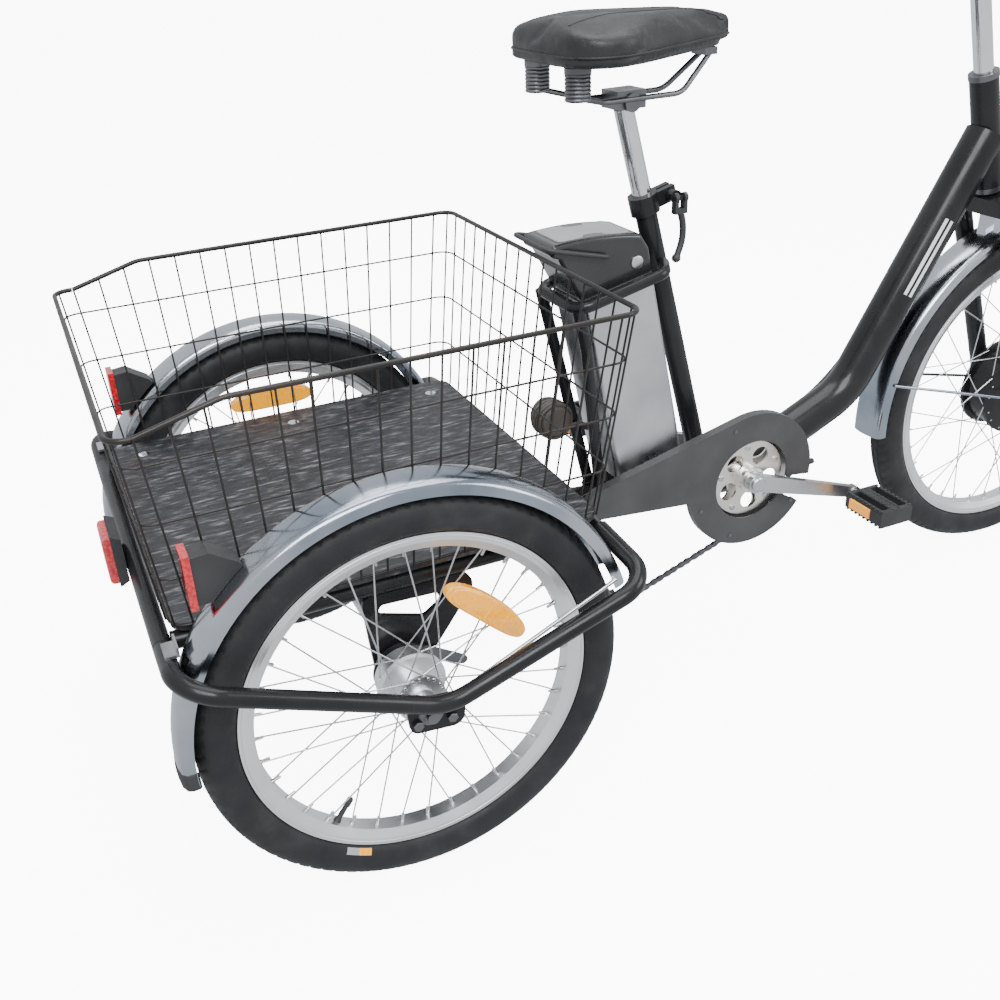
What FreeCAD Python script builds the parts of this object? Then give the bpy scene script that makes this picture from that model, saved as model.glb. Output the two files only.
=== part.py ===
import FreeCAD, Part
import math
import os
from FreeCAD import Placement, Rotation, Vector

# Adult electric cargo tricycle. Millimetres, +X forward, +Y left, +Z up. The design is laid out from
# the point on the ground under the rear axle, and every sub-part is then moved so that the origin is
# the middle of the whole tricycle at ground level.

DRIVING = {
    "rear_tyre_radius": 255, "rear_rim_radius": 209, "front_tyre_radius": 276, "front_rim_radius": 232,
    "tyre_half_width": 24, "rim_half_width": 15, "wheelbase": 1188, "half_track": 290,
    "spoke_radius": 1, "spoke_count": 36, "axle_radius": 8, "running_gap": 0.05,
    "crank_forward": 618, "crank_height": 272, "crank_length": 175, "crank_lean": 16,
    "jackshaft_forward": 330, "jackshaft_height": 262, "chain_side": 50,
    "head_angle": 74, "fork_rake": 22, "head_tube_low": 366, "head_tube_length": 160,
    "seat_tube_lean": 15.1, "seat_tube_foot": 575.7, "seat_tube_top": 696, "seat_tube_radius": 14.3,
    "seatpost_radius": 12.7, "down_tube_radius": 29, "beam_radius": 24, "tube_wall": 2,
    "rail_radius": 10.5, "rail_side": 348, "carrier_side": 236, "carrier_height": 372,
    "carrier_rear": -259.5, "carrier_front": 262, "board_top": 395, "board_thick": 9,
    "board_half_width": 246.75, "board_rear": -245.75, "board_front": 262.75,
    "wire_radius": 1.25, "rim_wire_radius": 3, "mesh_pitch": 31.7,
    "basket_top": 644, "basket_low_end": 620, "fender_gap": 20, "fender_half_width": 27,
    "fender_thick": 1.5, "battery_length": 107, "battery_width": 90, "battery_tall": 276,
    "battery_lean": 12, "battery_lid_tall": 72, "rack_radius": 8, "tail_end": -292,
}

doc = FreeCAD.newDocument("AdultTricycle")
sheet = doc.addObject("Spreadsheet::Sheet", "Sizes")


def fill_sheet():
    for row, (alias, value) in enumerate(DRIVING.items(), start=1):
        sheet.set(f"A{row}", alias)
        sheet.set(f"B{row}", str(value))
        sheet.setAlias(f"B{row}", alias)
    doc.recompute()


fill_sheet()


def size(alias):
    return float(sheet.get(alias))


AXLE = Vector(0, 0, size("rear_tyre_radius"))
CRANK = Vector(size("crank_forward"), 0, size("crank_height"))
JACKSHAFT = Vector(size("jackshaft_forward"), 0, size("jackshaft_height"))
FRONT_AXLE = Vector(size("wheelbase"), 0, size("front_tyre_radius"))
FRONT_END = size("wheelbase") + size("front_tyre_radius")
ORIGIN = Vector((FRONT_END + size("tail_end")) / 2, 0, 0)
ALONG_Y = Rotation(Vector(0, 0, 1), Vector(0, 1, 0))
SIDES = (("right", -1), ("left", 1))

HEAD = math.radians(size("head_angle"))
STEER_UP = Vector(-math.cos(HEAD), 0, math.sin(HEAD))
STEER_FOOT = FRONT_AXLE - Vector(size("fork_rake") / math.sin(HEAD), 0, 0)
SEAT_LEAN = math.radians(size("seat_tube_lean"))
SEAT_UP = Vector(-math.sin(SEAT_LEAN), 0, math.cos(SEAT_LEAN))
SEAT_FOOT = Vector(size("seat_tube_foot"), 0, size("crank_height"))

parts = []


# ---------------------------------------------------------------- helpers

def keep(item, name):
    """Register a finished sub-part under its own label, moved to the part's origin."""
    item.Label = name
    item.Placement = Placement(item.Placement.Base - ORIGIN, item.Placement.Rotation)
    parts.append(item)
    return item


def feature(name, shape):
    """A sub-part whose bent or trimmed shape is made with Part's own functions."""
    item = doc.addObject("Part::Feature", name)
    item.Shape = shape
    return keep(item, name)


def on_steering(distance):
    return STEER_FOOT + STEER_UP * distance


def on_seat_tube(height):
    return SEAT_FOOT + SEAT_UP * ((height - SEAT_FOOT.z) / SEAT_UP.z)


def polar(centre, radius, degrees):
    """A point of the XZ plane at an angle from forward, turning up."""
    angle = math.radians(degrees)
    return centre + Vector(radius * math.cos(angle), 0, radius * math.sin(angle))


def rounded_path(points, bends):
    """Straight runs joined by tangent arcs; bends is one radius or one for each inner point."""
    if not isinstance(bends, (list, tuple)):
        bends = [bends] * (len(points) - 2)
    edges = []
    start = points[0]
    for index, radius in enumerate(bends, start=1):
        corner = points[index]
        back = (points[index - 1] - corner).normalize()
        ahead = (points[index + 1] - corner).normalize()
        half = back.getAngle(ahead) / 2
        reach = radius / math.tan(half)
        inwards = (back + ahead).normalize()
        arc_start = corner + back * reach
        arc_end = corner + ahead * reach
        arc_middle = corner + inwards * (radius / math.sin(half) - radius)
        edges.append(Part.LineSegment(start, arc_start).toShape())
        edges.append(Part.Arc(arc_start, arc_middle, arc_end).toShape())
        start = arc_end
    edges.append(Part.LineSegment(start, points[-1]).toShape())
    return Part.Wire(edges)


def rod(points, radius, bends=0):
    """A solid round bar along a path, or along a straight line between two points."""
    if len(points) == 2:
        run = points[1] - points[0]
        return Part.makeCylinder(radius, run.Length, points[0], run)
    path = rounded_path(points, bends)
    circle = Part.Wire(Part.makeCircle(radius, points[0], points[1] - points[0]))
    return path.makePipeShell([circle], True, False)


def tube(points, radius, bends=0, wall=None):
    wall = size("tube_wall") if wall is None else wall
    return rod(points, radius, bends).cut(rod(points, radius - wall, bends))


def largest(shape):
    return max(shape.Solids, key=lambda solid: solid.Volume)


def mirrored(shape):
    return shape.mirror(Vector(0, 0, 0), Vector(0, 1, 0))


def both_sides(shape):
    return Part.makeCompound([shape, mirrored(shape)])


def belt(wheels):
    """A closed line round signed circles (x, z, radius): positive wraps one way, negative the other."""
    touches = []
    for index, (x0, z0, r0) in enumerate(wheels):
        x1, z1, r1 = wheels[(index + 1) % len(wheels)]
        length = math.hypot(x1 - x0, z1 - z0)
        dx, dz = (x1 - x0) / length, (z1 - z0) / length
        lean = math.asin((r0 - r1) / length)
        mx = dz * math.cos(lean) + dx * math.sin(lean)
        mz = -dx * math.cos(lean) + dz * math.sin(lean)
        touches.append(((x0 + r0 * mx, z0 + r0 * mz), (x1 + r1 * mx, z1 + r1 * mz)))
    edges = []
    for index, (x0, z0, r0) in enumerate(wheels):
        came = touches[index - 1][1]
        leaves, reached = touches[index]
        first = math.atan2(came[1] - z0, came[0] - x0)
        last = math.atan2(leaves[1] - z0, leaves[0] - x0)
        turn = (last - first) % (2 * math.pi) if r0 > 0 else -((first - last) % (2 * math.pi))
        middle = first + turn / 2
        arc_middle = Vector(x0 + abs(r0) * math.cos(middle), 0, z0 + abs(r0) * math.sin(middle))
        came_at, leaves_at = Vector(came[0], 0, came[1]), Vector(leaves[0], 0, leaves[1])
        edges.append(Part.Arc(came_at, arc_middle, leaves_at).toShape())
        edges.append(Part.LineSegment(leaves_at, Vector(reached[0], 0, reached[1])).toShape())
    return Part.Wire(edges)


def slab(wire, low, high):
    """A flat outline of the XZ plane given thickness from one Y to another."""
    face = Part.Face(wire)
    return face.extrude(Vector(0, high - low, 0)).translated(Vector(0, low, 0))


def outline(points):
    return Part.makePolygon([Vector(x, 0, z) for x, z in points] + [Vector(points[0][0], 0, points[0][1])])


def disc(centre, radius, low, high):
    return Part.makeCylinder(radius, high - low, Vector(centre.x, low, centre.z), Vector(0, 1, 0))


def ring(centre, outer, inner, low, high):
    return disc(centre, outer, low, high).cut(disc(centre, inner, low, high))


def block(x0, x1, y0, y1, z0, z1):
    return Part.makeBox(x1 - x0, y1 - y0, z1 - z0, Vector(x0, y0, z0))


def plane_of(body, role):
    return next(item for item in body.Origin.OriginFeatures if item.Role == role)


def sketch_on(body, role, name):
    sketch = body.newObject("Sketcher::SketchObject", name)
    sketch.AttachmentSupport = (plane_of(body, role), [""])
    sketch.MapMode = "FlatFace"
    return sketch


def draw_closed(sketch, points, arcs=()):
    """Lines from point to point; a pair of indices in arcs names a middle point to pass through."""
    through = dict(arcs)
    for index, (x, y) in enumerate(points):
        nx, ny = points[(index + 1) % len(points)]
        if index in through:
            mx, my = through[index]
            curve = Part.Arc(Vector(x, y, 0), Vector(mx, my, 0), Vector(nx, ny, 0))
        else:
            curve = Part.LineSegment(Vector(x, y, 0), Vector(nx, ny, 0))
        sketch.addGeometry(curve, False)


def turned_body(name, points, base, arcs=(), registered=True):
    """A turned piece whose axis is Y; points are (Y, radius) of its section."""
    body = doc.addObject("PartDesign::Body", name)
    sketch = sketch_on(body, "YZ_Plane", name + "_profile")
    draw_closed(sketch, points, arcs)
    turned = body.newObject("PartDesign::Revolution", name + "_turned")
    turned.Profile = sketch
    turned.ReferenceAxis = (sketch, ["H_Axis"])
    turned.Angle = 360
    body.Placement = Placement(base, Rotation())
    return keep(body, name) if registered else body


def padded_body(name, points, length, base, rotation=None, fillet=None, arcs=(), edge_along=None):
    """An outline in the XZ plane, padded both ways along Y; length is a sheet expression."""
    body = doc.addObject("PartDesign::Body", name)
    sketch = sketch_on(body, "XZ_Plane", name + "_outline")
    draw_closed(sketch, points, arcs)
    pad = body.newObject("PartDesign::Pad", name + "_pad")
    pad.Profile = sketch
    pad.setExpression("Length", length)
    pad.Midplane = True
    if fillet:
        doc.recompute()
        names = [f"Edge{number}" for number, edge in enumerate(pad.Shape.Edges, start=1)
                 if edge_along is None or abs(edge.tangentAt(edge.FirstParameter).dot(edge_along)) > 0.99]
        rounding = body.newObject("PartDesign::Fillet", name + "_rounding")
        rounding.Base = (pad, names)
        rounding.Radius = fillet
    body.Placement = Placement(base, rotation or Rotation())
    return keep(body, name)


def toothed_disc(centre, tip, teeth, low, high, bore):
    """A sprocket: short pointed teeth on a disc, with a round bore."""
    points = []
    for number in range(2 * teeth):
        radius = tip if number % 2 else tip - 4
        point = polar(centre, radius, 180 * number / teeth)
        points.append((point.x, point.z))
    return slab(outline(points), low, high).cut(disc(centre, bore, low - 1, high + 1))


# ---------------------------------------------------------------- wheels

def wheel(place, centre, tyre_radius, rim_radius, hub_flanges):
    """Tyre, rim and crossed spokes; hub_flanges are (Y offset, radius) for the two flanges."""
    half = size("tyre_half_width")
    bead = rim_radius - 5.8
    lip = rim_radius + 0.8
    widest = (tyre_radius + rim_radius) / 2
    skin = 4
    seat = 12.2
    section = [(-seat, bead), (-seat, lip), (-half, widest), (0, tyre_radius), (half, widest), (seat, lip),
               (seat, bead), (seat - skin, bead), (seat - skin, lip), (half - skin, widest),
               (0, tyre_radius - skin), (skin - half, widest), (skin - seat, lip), (skin - seat, bead)]
    crown = widest + (tyre_radius - widest) * 0.76
    inner_crown = widest + (tyre_radius - skin - widest) * 0.74
    side = lip + (widest - lip) * 0.42
    arcs = [(1, (-half * 0.86, side)), (2, (-half * 0.72, crown)), (3, (half * 0.72, crown)),
            (4, (half * 0.86, side)), (8, ((half - skin) * 0.83, side + 1)),
            (9, ((half - skin) * 0.70, inner_crown)), (10, ((skin - half) * 0.70, inner_crown)),
            (11, ((skin - half) * 0.83, side + 1))]
    turned_body(f"{place}_tyre", section, centre, arcs)

    rim_half = size("rim_half_width")
    inner = rim_radius - 19
    turned_body(f"{place}_rim", [
        (-rim_half, rim_radius), (-rim_half, rim_radius - 9), (-10, inner), (10, inner),
        (rim_half, rim_radius - 9), (rim_half, rim_radius), (rim_half - 2.5, rim_radius),
        (rim_half - 2.5, rim_radius - 6), (2.5 - rim_half, rim_radius - 6), (2.5 - rim_half, rim_radius),
    ], centre)
    feature(f"{place}_spokes", spokes(centre, inner + 0.6, hub_flanges))


def spokes(centre, rim_seat, hub_flanges):
    """Each flange holds every second spoke; neighbours lean opposite ways, crossing on the way out."""
    count = int(size("spoke_count"))
    step = 360 / count
    solids = []
    for number in range(count):
        offset, flange_radius = hub_flanges[number % 2]
        lean = 62 if (number // 2) % 2 else -62
        outer = polar(centre, rim_seat, number * step)
        inner = polar(centre, flange_radius - 3, number * step + lean)
        shell_side = 1.2 if (number // 2) % 2 else -1.2
        inner.y = centre.y + offset + shell_side
        outer.y = centre.y + (2 if offset > 0 else -2) + shell_side / 2
        solids.append(rod([inner, outer], size("spoke_radius")))
    return Part.makeCompound(solids)


def rear_wheels():
    """The hub carries a brake drum on its inner side and is keyed to its own axle."""
    shaft = size("axle_radius")
    for place, side in SIDES:
        centre = Vector(0, side * size("half_track"), AXLE.z)
        flanges = ((-side * 14, 42), (side * 16, 30))
        wheel(f"rear_{place}", centre, size("rear_tyre_radius"), size("rear_rim_radius"), flanges)
        drum = [(36, 38), (36, 35), (21, 35), (21, shaft), (-22, shaft), (-22, 15), (-18, 15),
                (-18, 30), (-14, 30), (-14, 20), (10, 20), (10, 38), (12, 42), (16, 42), (18, 38)]
        drum = [(-side * y, radius) for y, radius in drum]
        shell = turned_body(f"hub_shell_{place}", drum, Vector(0, 0, 0), registered=False)
        inboard = -62 if place == "right" else 206
        axle = disc(AXLE, shaft, min(side * inboard, side * 337), max(side * inboard, side * 337))
        doc.recompute()
        solids = [shell.Shape.translated(centre), axle]
        if place == "right":
            solids.append(toothed_disc(AXLE, 41, 22, 46, 50, shaft))
        feature(f"rear_{place}_hub", Part.makeCompound(solids))


def front_wheel():
    shaft = 6 + size("running_gap")
    wheel("front", FRONT_AXLE, size("front_tyre_radius"), size("front_rim_radius"), ((-24, 70), (24, 70)))
    turned_body("front_hub_motor", [
        (-40, shaft), (-40, 20), (-34, 24), (-30, 58), (-27, 73), (-21, 73), (-20, 66), (20, 66),
        (21, 73), (27, 73), (30, 58), (34, 24), (40, 20), (40, shaft),
    ], FRONT_AXLE)


# ---------------------------------------------------------------- main frame

BEAM_ROUTE = [Vector(618, 0, 245), Vector(330, 0, 268), Vector(205, 0, 290), Vector(95, 0, 336)]
DOWN_ROUTE = [Vector(618, 0, 243), Vector(835, 0, 342), Vector(1042, 0, 703)]
CROSS_TUBE = Vector(70, 0, 338)
CROSS_RADIUS = 14


def bearing_shells():
    """The shells that the crank axle and the jackshaft turn in, across the main beam."""
    shells = [ring(centre, 21, 17, -34, 34) for centre in (CRANK, JACKSHAFT)]
    feature("bearing_shells", Part.makeCompound(shells))


def bearings():
    """Bearing rings: headset, crank, jackshaft, and two for each rear axle."""
    shaft = size("axle_radius") + size("running_gap")
    rings = []
    for centre in (CRANK, JACKSHAFT):
        rings += [ring(centre, 17, shaft, low, low + 10) for low in (-34, 24)]
    rings += [ring(AXLE, 15, shaft, low, low + 6) for low in (-238, 232, -337.5, 332.5)]
    rings.append(ring(AXLE, 15, shaft, 18, 28))
    for distance in (size("head_tube_low") - 8, size("head_tube_low") + size("head_tube_length")):
        low = on_steering(distance)
        cup = Part.makeCylinder(21, 8, low, STEER_UP)
        rings.append(cup.cut(Part.makeCylinder(12.7 + size("running_gap"), 8, low, STEER_UP)))
    feature("bearing_rings", Part.makeCompound(rings))


def head_tube():
    low = on_steering(size("head_tube_low"))
    high = on_steering(size("head_tube_low") + size("head_tube_length"))
    feature("head_tube", tube([low, high], 20, wall=3))
    return rod([low, high], 20)


def main_tubes():
    shells = [disc(centre, 21, -34, 34) for centre in (CRANK, JACKSHAFT)]
    head = head_tube()
    radius = size("down_tube_radius")
    down_solid = rod(DOWN_ROUTE, radius, 110)
    down = tube(DOWN_ROUTE, radius, 110)
    feature("down_tube", largest(down.cut(head).cut(shells[0])))

    beam_radius = size("beam_radius")
    beam_solid = rod(BEAM_ROUTE, beam_radius, [400, 140])
    cross = rod([CROSS_TUBE + Vector(0, -232, 0), CROSS_TUBE + Vector(0, 232, 0)], CROSS_RADIUS)
    beam = tube(BEAM_ROUTE, beam_radius, [400, 140])
    beam = largest(beam.cut(down_solid).cut(shells[0]).cut(shells[1]).cut(cross))
    feature("main_beam", beam)

    seat_radius = size("seat_tube_radius")
    seat_ends = [on_seat_tube(250), on_seat_tube(size("seat_tube_top"))]
    seat_tube = rod(seat_ends, seat_radius).cut(rod(seat_ends, size("seatpost_radius")))
    seat_tube = largest(seat_tube.cut(beam_solid).cut(down_solid).cut(shells[0]))
    feature("seat_tube", seat_tube)
    return beam_solid


def seat_clamp():
    """A split collar round the top of the seat tube, with two ears in front for the lever's bolt."""
    low, high = on_seat_tube(size("seat_tube_top") - 24), on_seat_tube(size("seat_tube_top"))
    collar = rod([low, high], size("seat_tube_radius") + 5)
    middle = (low + high) * 0.5
    ears = block(0, EAR_REACH + 9, -11, 11, -10, 10)
    ears = ears.cut(block(16, EAR_REACH + 20, -2, 2, -20, 20))
    ears = ears.cut(disc(Vector(EAR_REACH, 0, 0), 3, -20, 20))
    ears.rotate(Vector(0, 0, 0), Vector(0, 1, 0), -size("seat_tube_lean"))
    collar = collar.fuse(ears.translated(middle))
    long_low, long_high = on_seat_tube(600), on_seat_tube(760)
    collar = largest(collar.cut(rod([long_low, long_high], size("seat_tube_radius"))))
    seat_lever(collar, middle)


def axle_plates():
    """Inner plates hang from the carrier's rails; outer plates are welded inside the guard rails."""
    inner = slab(belt([(0, AXLE.z, 30), (80, 342, 18), (-26, 348, 12)]), -238, -232)
    inner = inner.cut(disc(AXLE, 15, -240, -230))
    inner = inner.cut(slab(belt([(34, 325, 9), (56, 336, 6), (-12, 338, 7)]), -240, -230))
    outer = slab(belt([(-14, 245, 12), (26, 243, 14), (30, 262, 12), (-16, 266, 12)]), -337.5, -332.5)
    outer = outer.cut(disc(AXLE, 15, -340, -330))
    middle = slab(belt([(0, AXLE.z, 26), (70, 338, 20)]), 20, 26).cut(disc(AXLE, 15, 10, 30))
    middle = middle.cut(disc(CROSS_TUBE, CROSS_RADIUS, 0, 60))
    solids = [inner, mirrored(inner), outer, mirrored(outer), middle]
    feature("axle_plates", Part.makeCompound(solids))


def carrier():
    """Tubes under the cargo board, and the tube that crosses between the inner axle plates."""
    radius = size("rail_radius")
    rear, front, side = size("carrier_rear"), size("carrier_front"), size("carrier_side")
    height = size("carrier_height")
    reach = side + radius
    solids = []
    for along in (rear, front):
        solids.append(tube([Vector(along, -reach, height), Vector(along, reach, height)], radius))
    for across in (-side, side):
        ends = [Vector(rear + radius + 0.2, across, height), Vector(front - radius - 0.2, across, height)]
        solids.append(tube(ends, radius))
    inside = side - radius - 0.2
    for along in (-90, 70):
        solids.append(tube([Vector(along, -inside, height), Vector(along, inside, height)], radius - 2))
    solids.append(tube([CROSS_TUBE + Vector(0, -232, 0), CROSS_TUBE + Vector(0, 232, 0)], CROSS_RADIUS))
    for across in (-90, 90):
        top, bottom = height - radius + 2.2, CROSS_TUBE.z + CROSS_RADIUS
        solids.append(block(64, 76, across - 3, across + 3, bottom, top))
    feature("carrier_frame", Part.makeCompound(solids))


def guard_rails():
    """One bent tube round each rear wheel, from the carrier's rear corner to its front corner."""
    side = -size("rail_side")
    height = size("carrier_height")
    reach = -size("carrier_side") - size("rail_radius") - 1.6
    route = [Vector(size("carrier_rear"), reach, height), Vector(size("carrier_rear"), side, height + 10),
             Vector(16, side, 268), Vector(272, side, 356), Vector(size("carrier_front"), reach, height + 4)]
    feature("guard_rails", both_sides(tube(route, size("rail_radius"), [44, 70, 36])))


def board():
    """A flat board with rounded corners, held to the carrier by six flush countersunk bolts."""
    blank = doc.addObject("Part::Box", "board_blank")
    blank.setExpression("Length", "Sizes.board_front - Sizes.board_rear")
    blank.setExpression("Width", "2 * Sizes.board_half_width")
    blank.setExpression("Height", "Sizes.board_thick")
    low = size("board_top") - size("board_thick")
    blank.Placement.Base = Vector(size("board_rear"), -size("board_half_width"), low)
    doc.recompute()
    rounded = doc.addObject("Part::Fillet", "board_rounded")
    rounded.Base = blank
    rounded.Edges = [(number, 18.75, 18.75) for number, edge in enumerate(blank.Shape.Edges, start=1)
                     if edge.BoundBox.ZLength > 1]
    bolts = []
    for along in (-205, 10, 225):
        for across in (-205, 205):
            base = Vector(along, across, size("board_top"))
            head = Part.makeCone(3, 8, 5, base - Vector(0, 0, 5))
            bolts.append(head.fuse(Part.makeCylinder(3, size("board_thick"), base, Vector(0, 0, -1))))
    hole_set = doc.addObject("Part::Feature", "board_bolt_holes")
    hole_set.Shape = Part.makeCompound(bolts)
    cut = doc.addObject("Part::Cut", "cargo_board")
    cut.Base = rounded
    cut.Tool = hole_set
    keep(cut, "cargo_board")
    feature("board_bolts", Part.makeCompound(bolts))


# ---------------------------------------------------------------- basket

BASKET_LOW = size("board_top") - size("wire_radius") - 0.25
BASKET_ROWS = (0, 0.243, 0.515, 0.778)
BASKET_HALF = (248, 269)
BASKET_REAR = (-247, -271)
BASKET_FRONT = (264, 298)
BASKET_CORNER = 22
WELD = 2.1
RIM_KINK = -157


def flared(limits, height):
    """A size that grows evenly from the basket's foot to its rim."""
    low, top = limits
    return low + (top - low) * (height - BASKET_LOW) / (size("basket_top") - BASKET_LOW)


def level_heights():
    tall = size("basket_top") - BASKET_LOW
    return [BASKET_LOW + tall * row for row in BASKET_ROWS]


def side_wall():
    """Level wires on the inside, uprights welded to them, and a thick rim that dips at the rear."""
    thin, top, low_end = size("wire_radius"), size("basket_top"), size("basket_low_end")
    wires = []
    for z in level_heights():
        half = flared(BASKET_HALF, z)
        ends = [flared(BASKET_REAR, z) + BASKET_CORNER, flared(BASKET_FRONT, z) - BASKET_CORNER]
        wires.append(rod([Vector(ends[0], -half, z), Vector(ends[1], -half, z)], thin))
    rear_end = flared(BASKET_REAR, low_end) + BASKET_CORNER
    front_end = flared(BASKET_FRONT, top) - BASKET_CORNER
    foot_rear = flared(BASKET_REAR, BASKET_LOW) + BASKET_CORNER
    foot_front = flared(BASKET_FRONT, BASKET_LOW) - BASKET_CORNER
    count = round((foot_front - foot_rear) / size("mesh_pitch"))
    for number in range(count + 1):
        share = number / count
        x_top = rear_end + 1.5 + (front_end - rear_end - 3) * share
        dip = max(0, (RIM_KINK - x_top) / (RIM_KINK - rear_end))
        z_top = top - (top - low_end) * dip
        foot = Vector(foot_rear + 1.5 + (foot_front - foot_rear - 3) * share, -BASKET_HALF[0] - WELD, BASKET_LOW)
        wires.append(rod([foot, Vector(x_top, -flared(BASKET_HALF, z_top) - WELD, z_top)], thin))
    rim = [Vector(rear_end + 0.7, -flared(BASKET_HALF, low_end) - WELD, low_end),
           Vector(RIM_KINK, -BASKET_HALF[1] - WELD, top), Vector(front_end, -BASKET_HALF[1] - WELD, top)]
    wires.append(rod(rim, size("rim_wire_radius"), 60))
    return wires[0].multiFuse(wires[1:])


def end_wall(limits, way, height):
    """Level wires and rim turn round both corners; way is +1 for the front wall and -1 for the rear."""
    thin = size("wire_radius")

    def turned(z, radius, out):
        x, half = flared(limits, z) + way * out, flared(BASKET_HALF, z) + out
        back = flared(limits, z) - way * BASKET_CORNER
        path = [Vector(back, -half, z), Vector(x, -half, z), Vector(x, half, z), Vector(back, half, z)]
        return rod(path, radius, 20)

    wires = [turned(z, thin, 0) for z in level_heights()]
    wires.append(turned(height, size("rim_wire_radius"), WELD))
    foot_half = flared(BASKET_HALF, BASKET_LOW) - BASKET_CORNER
    head_half = flared(BASKET_HALF, height) - BASKET_CORNER
    count = round(2 * foot_half / size("mesh_pitch"))
    for number in range(count + 1):
        share = 2 * number / count - 1
        foot = Vector(limits[0] + way * WELD, share * foot_half, BASKET_LOW)
        head = Vector(flared(limits, height) + way * WELD, share * head_half, height)
        wires.append(rod([foot, head], thin))
    reach = (20 + WELD) / math.sqrt(2) - 20
    for side in (-1, 1):
        ends = []
        for z in (BASKET_LOW, height):
            ends.append(Vector(flared(limits, z) + way * reach, side * (flared(BASKET_HALF, z) + reach), z))
        wires.append(rod(ends, thin))
    return wires[0].multiFuse(wires[1:])


def basket():
    """Four welded wire walls; the end walls' wires turn the corners and meet the side walls' wires."""
    feature("basket_side_walls", both_sides(side_wall()))
    ends = [end_wall(BASKET_FRONT, 1, size("basket_top")), end_wall(BASKET_REAR, -1, size("basket_low_end"))]
    feature("basket_end_walls", Part.makeCompound(ends))


# ---------------------------------------------------------------- fenders and lights

def fender(centre, crown_radius, half_width, first, last):
    """A thin arched strip turned about the wheel's axle, from one angle round to another."""
    thick = size("fender_thick")
    drops = ((1, -18), (1, -11), (0.91, -5.5), (0.56, -1.4), (0, 0))

    def arched(inset):
        half = [(share * half_width - (inset if share else 0) * (1 if share > 0.8 else 0.5),
                 crown_radius + drop - (inset if drop > -17 else 0)) for share, drop in drops]
        return half + [(-y, r) for y, r in half[-2::-1]]

    points = [Vector(0, y, r) for y, r in arched(0)]
    inner = [Vector(0, y, r) for y, r in arched(thick)][::-1]
    edges = []
    for run in (points, inner):
        edges.append(Part.LineSegment(run[0], run[1]).toShape())
        curve = Part.BSplineCurve()
        curve.interpolate(run[1:-1])
        edges.append(curve.toShape())
        edges.append(Part.LineSegment(run[-2], run[-1]).toShape())
    edges.append(Part.LineSegment(points[-1], inner[0]).toShape())
    edges.append(Part.LineSegment(inner[-1], points[0]).toShape())
    section = Part.Face(Part.Wire(Part.sortEdges(edges)[0]))
    section.rotate(Vector(0, 0, 0), Vector(0, 1, 0), 90 - first)
    strip = section.revolve(Vector(0, 0, 0), Vector(0, 1, 0), first - last)
    return strip.translated(centre)


def rear_fenders():
    centre = Vector(0, -size("half_track"), AXLE.z)
    crown = size("rear_tyre_radius") + size("fender_gap")
    strip = fender(centre, crown, size("fender_half_width"), 18, 184)
    feature("rear_fenders", both_sides(strip))

    skirt_side = -size("half_track") - size("fender_half_width")
    stay = rod([Vector(26, -330, 262), Vector(243, skirt_side - 2.5, 349)], 2.5)
    angle = block(-262, -246.5, -292, -263.5, 386.6, 390).fuse(block(-249, -246.5, -292, -263.5, 386.6, 398))
    angle = angle.cut(rod([Vector(0, -400, AXLE.z), Vector(0, 0, AXLE.z)], crown + 0.3))
    feature("fender_supports", Part.makeCompound([stay, mirrored(stay), angle, mirrored(angle)]))
    return crown


def rear_lights(crown):
    """Red reflectors on the fenders, and a red lamp behind the carrier's rear tube."""
    holder = slab(outline([(-219, 440), (-219, 494), (-200, 496), (-172, 478), (-150, 440)]), -292, -264)
    holder = holder.cut(disc(AXLE, crown + 0.3, -300, -200))
    back = size("carrier_rear") - size("rail_radius") - 0.2
    lamp_body = slab(outline([(-282, 352), (-282, 420), (back, 414), (back, 358)]), -66, -4)
    feature("light_housings", Part.makeCompound([holder, mirrored(holder), lamp_body]))
    plate = block(-227, -219, -294, -262, 436, 498)
    lens = block(size("tail_end"), -282, -62, -8, 356, 416)
    edges = [edge for edge in lens.Edges if edge.BoundBox.XMax < size("tail_end") + 1]
    lens = lens.makeFillet(5, edges)
    feature("red_lenses", Part.makeCompound([plate, mirrored(plate), lens]))


# ---------------------------------------------------------------- battery

BATTERY_FOOT = Vector(461.5, 0, 321)
BATTERY_TURN = Rotation(Vector(0, 1, 0), -size("battery_lean"))


def battery_point(along, across, up):
    return BATTERY_FOOT + BATTERY_TURN.multVec(Vector(along, across, up))


def battery():
    half = size("battery_length") / 2
    tall = size("battery_tall")
    case = [(-half, 0), (half, 0), (half, tall), (-half, tall)]
    padded_body("battery_case", case, "Sizes.battery_width", BATTERY_FOOT, BATTERY_TURN, 9,
                edge_along=Vector(0, 0, 1))
    low = tall + 0.3
    rise = size("battery_lid_tall")
    lid = [(-half, low), (half, low), (half, low + rise * 0.5), (half - 8, low + rise * 0.8),
           (-half - 18, low + rise * 1.2), (-half - 20, low + rise * 0.96)]
    bulges = [(3, (-13, low + rise * 1.06)), (4, (-half - 29, low + rise * 1.08))]
    padded_body("battery_lid", lid, "Sizes.battery_width - 4", BATTERY_FOOT, BATTERY_TURN, 6, bulges)

    path = [battery_point(*place) for place in
            ((-10, -43, 326), (-10, -50, 326), (-90, -50, 365), (-90, 50, 365), (-10, 50, 326), (-10, 43, 326))]
    feature("battery_handle", rod(path, 3, [4, 14, 14, 4]))


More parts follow.
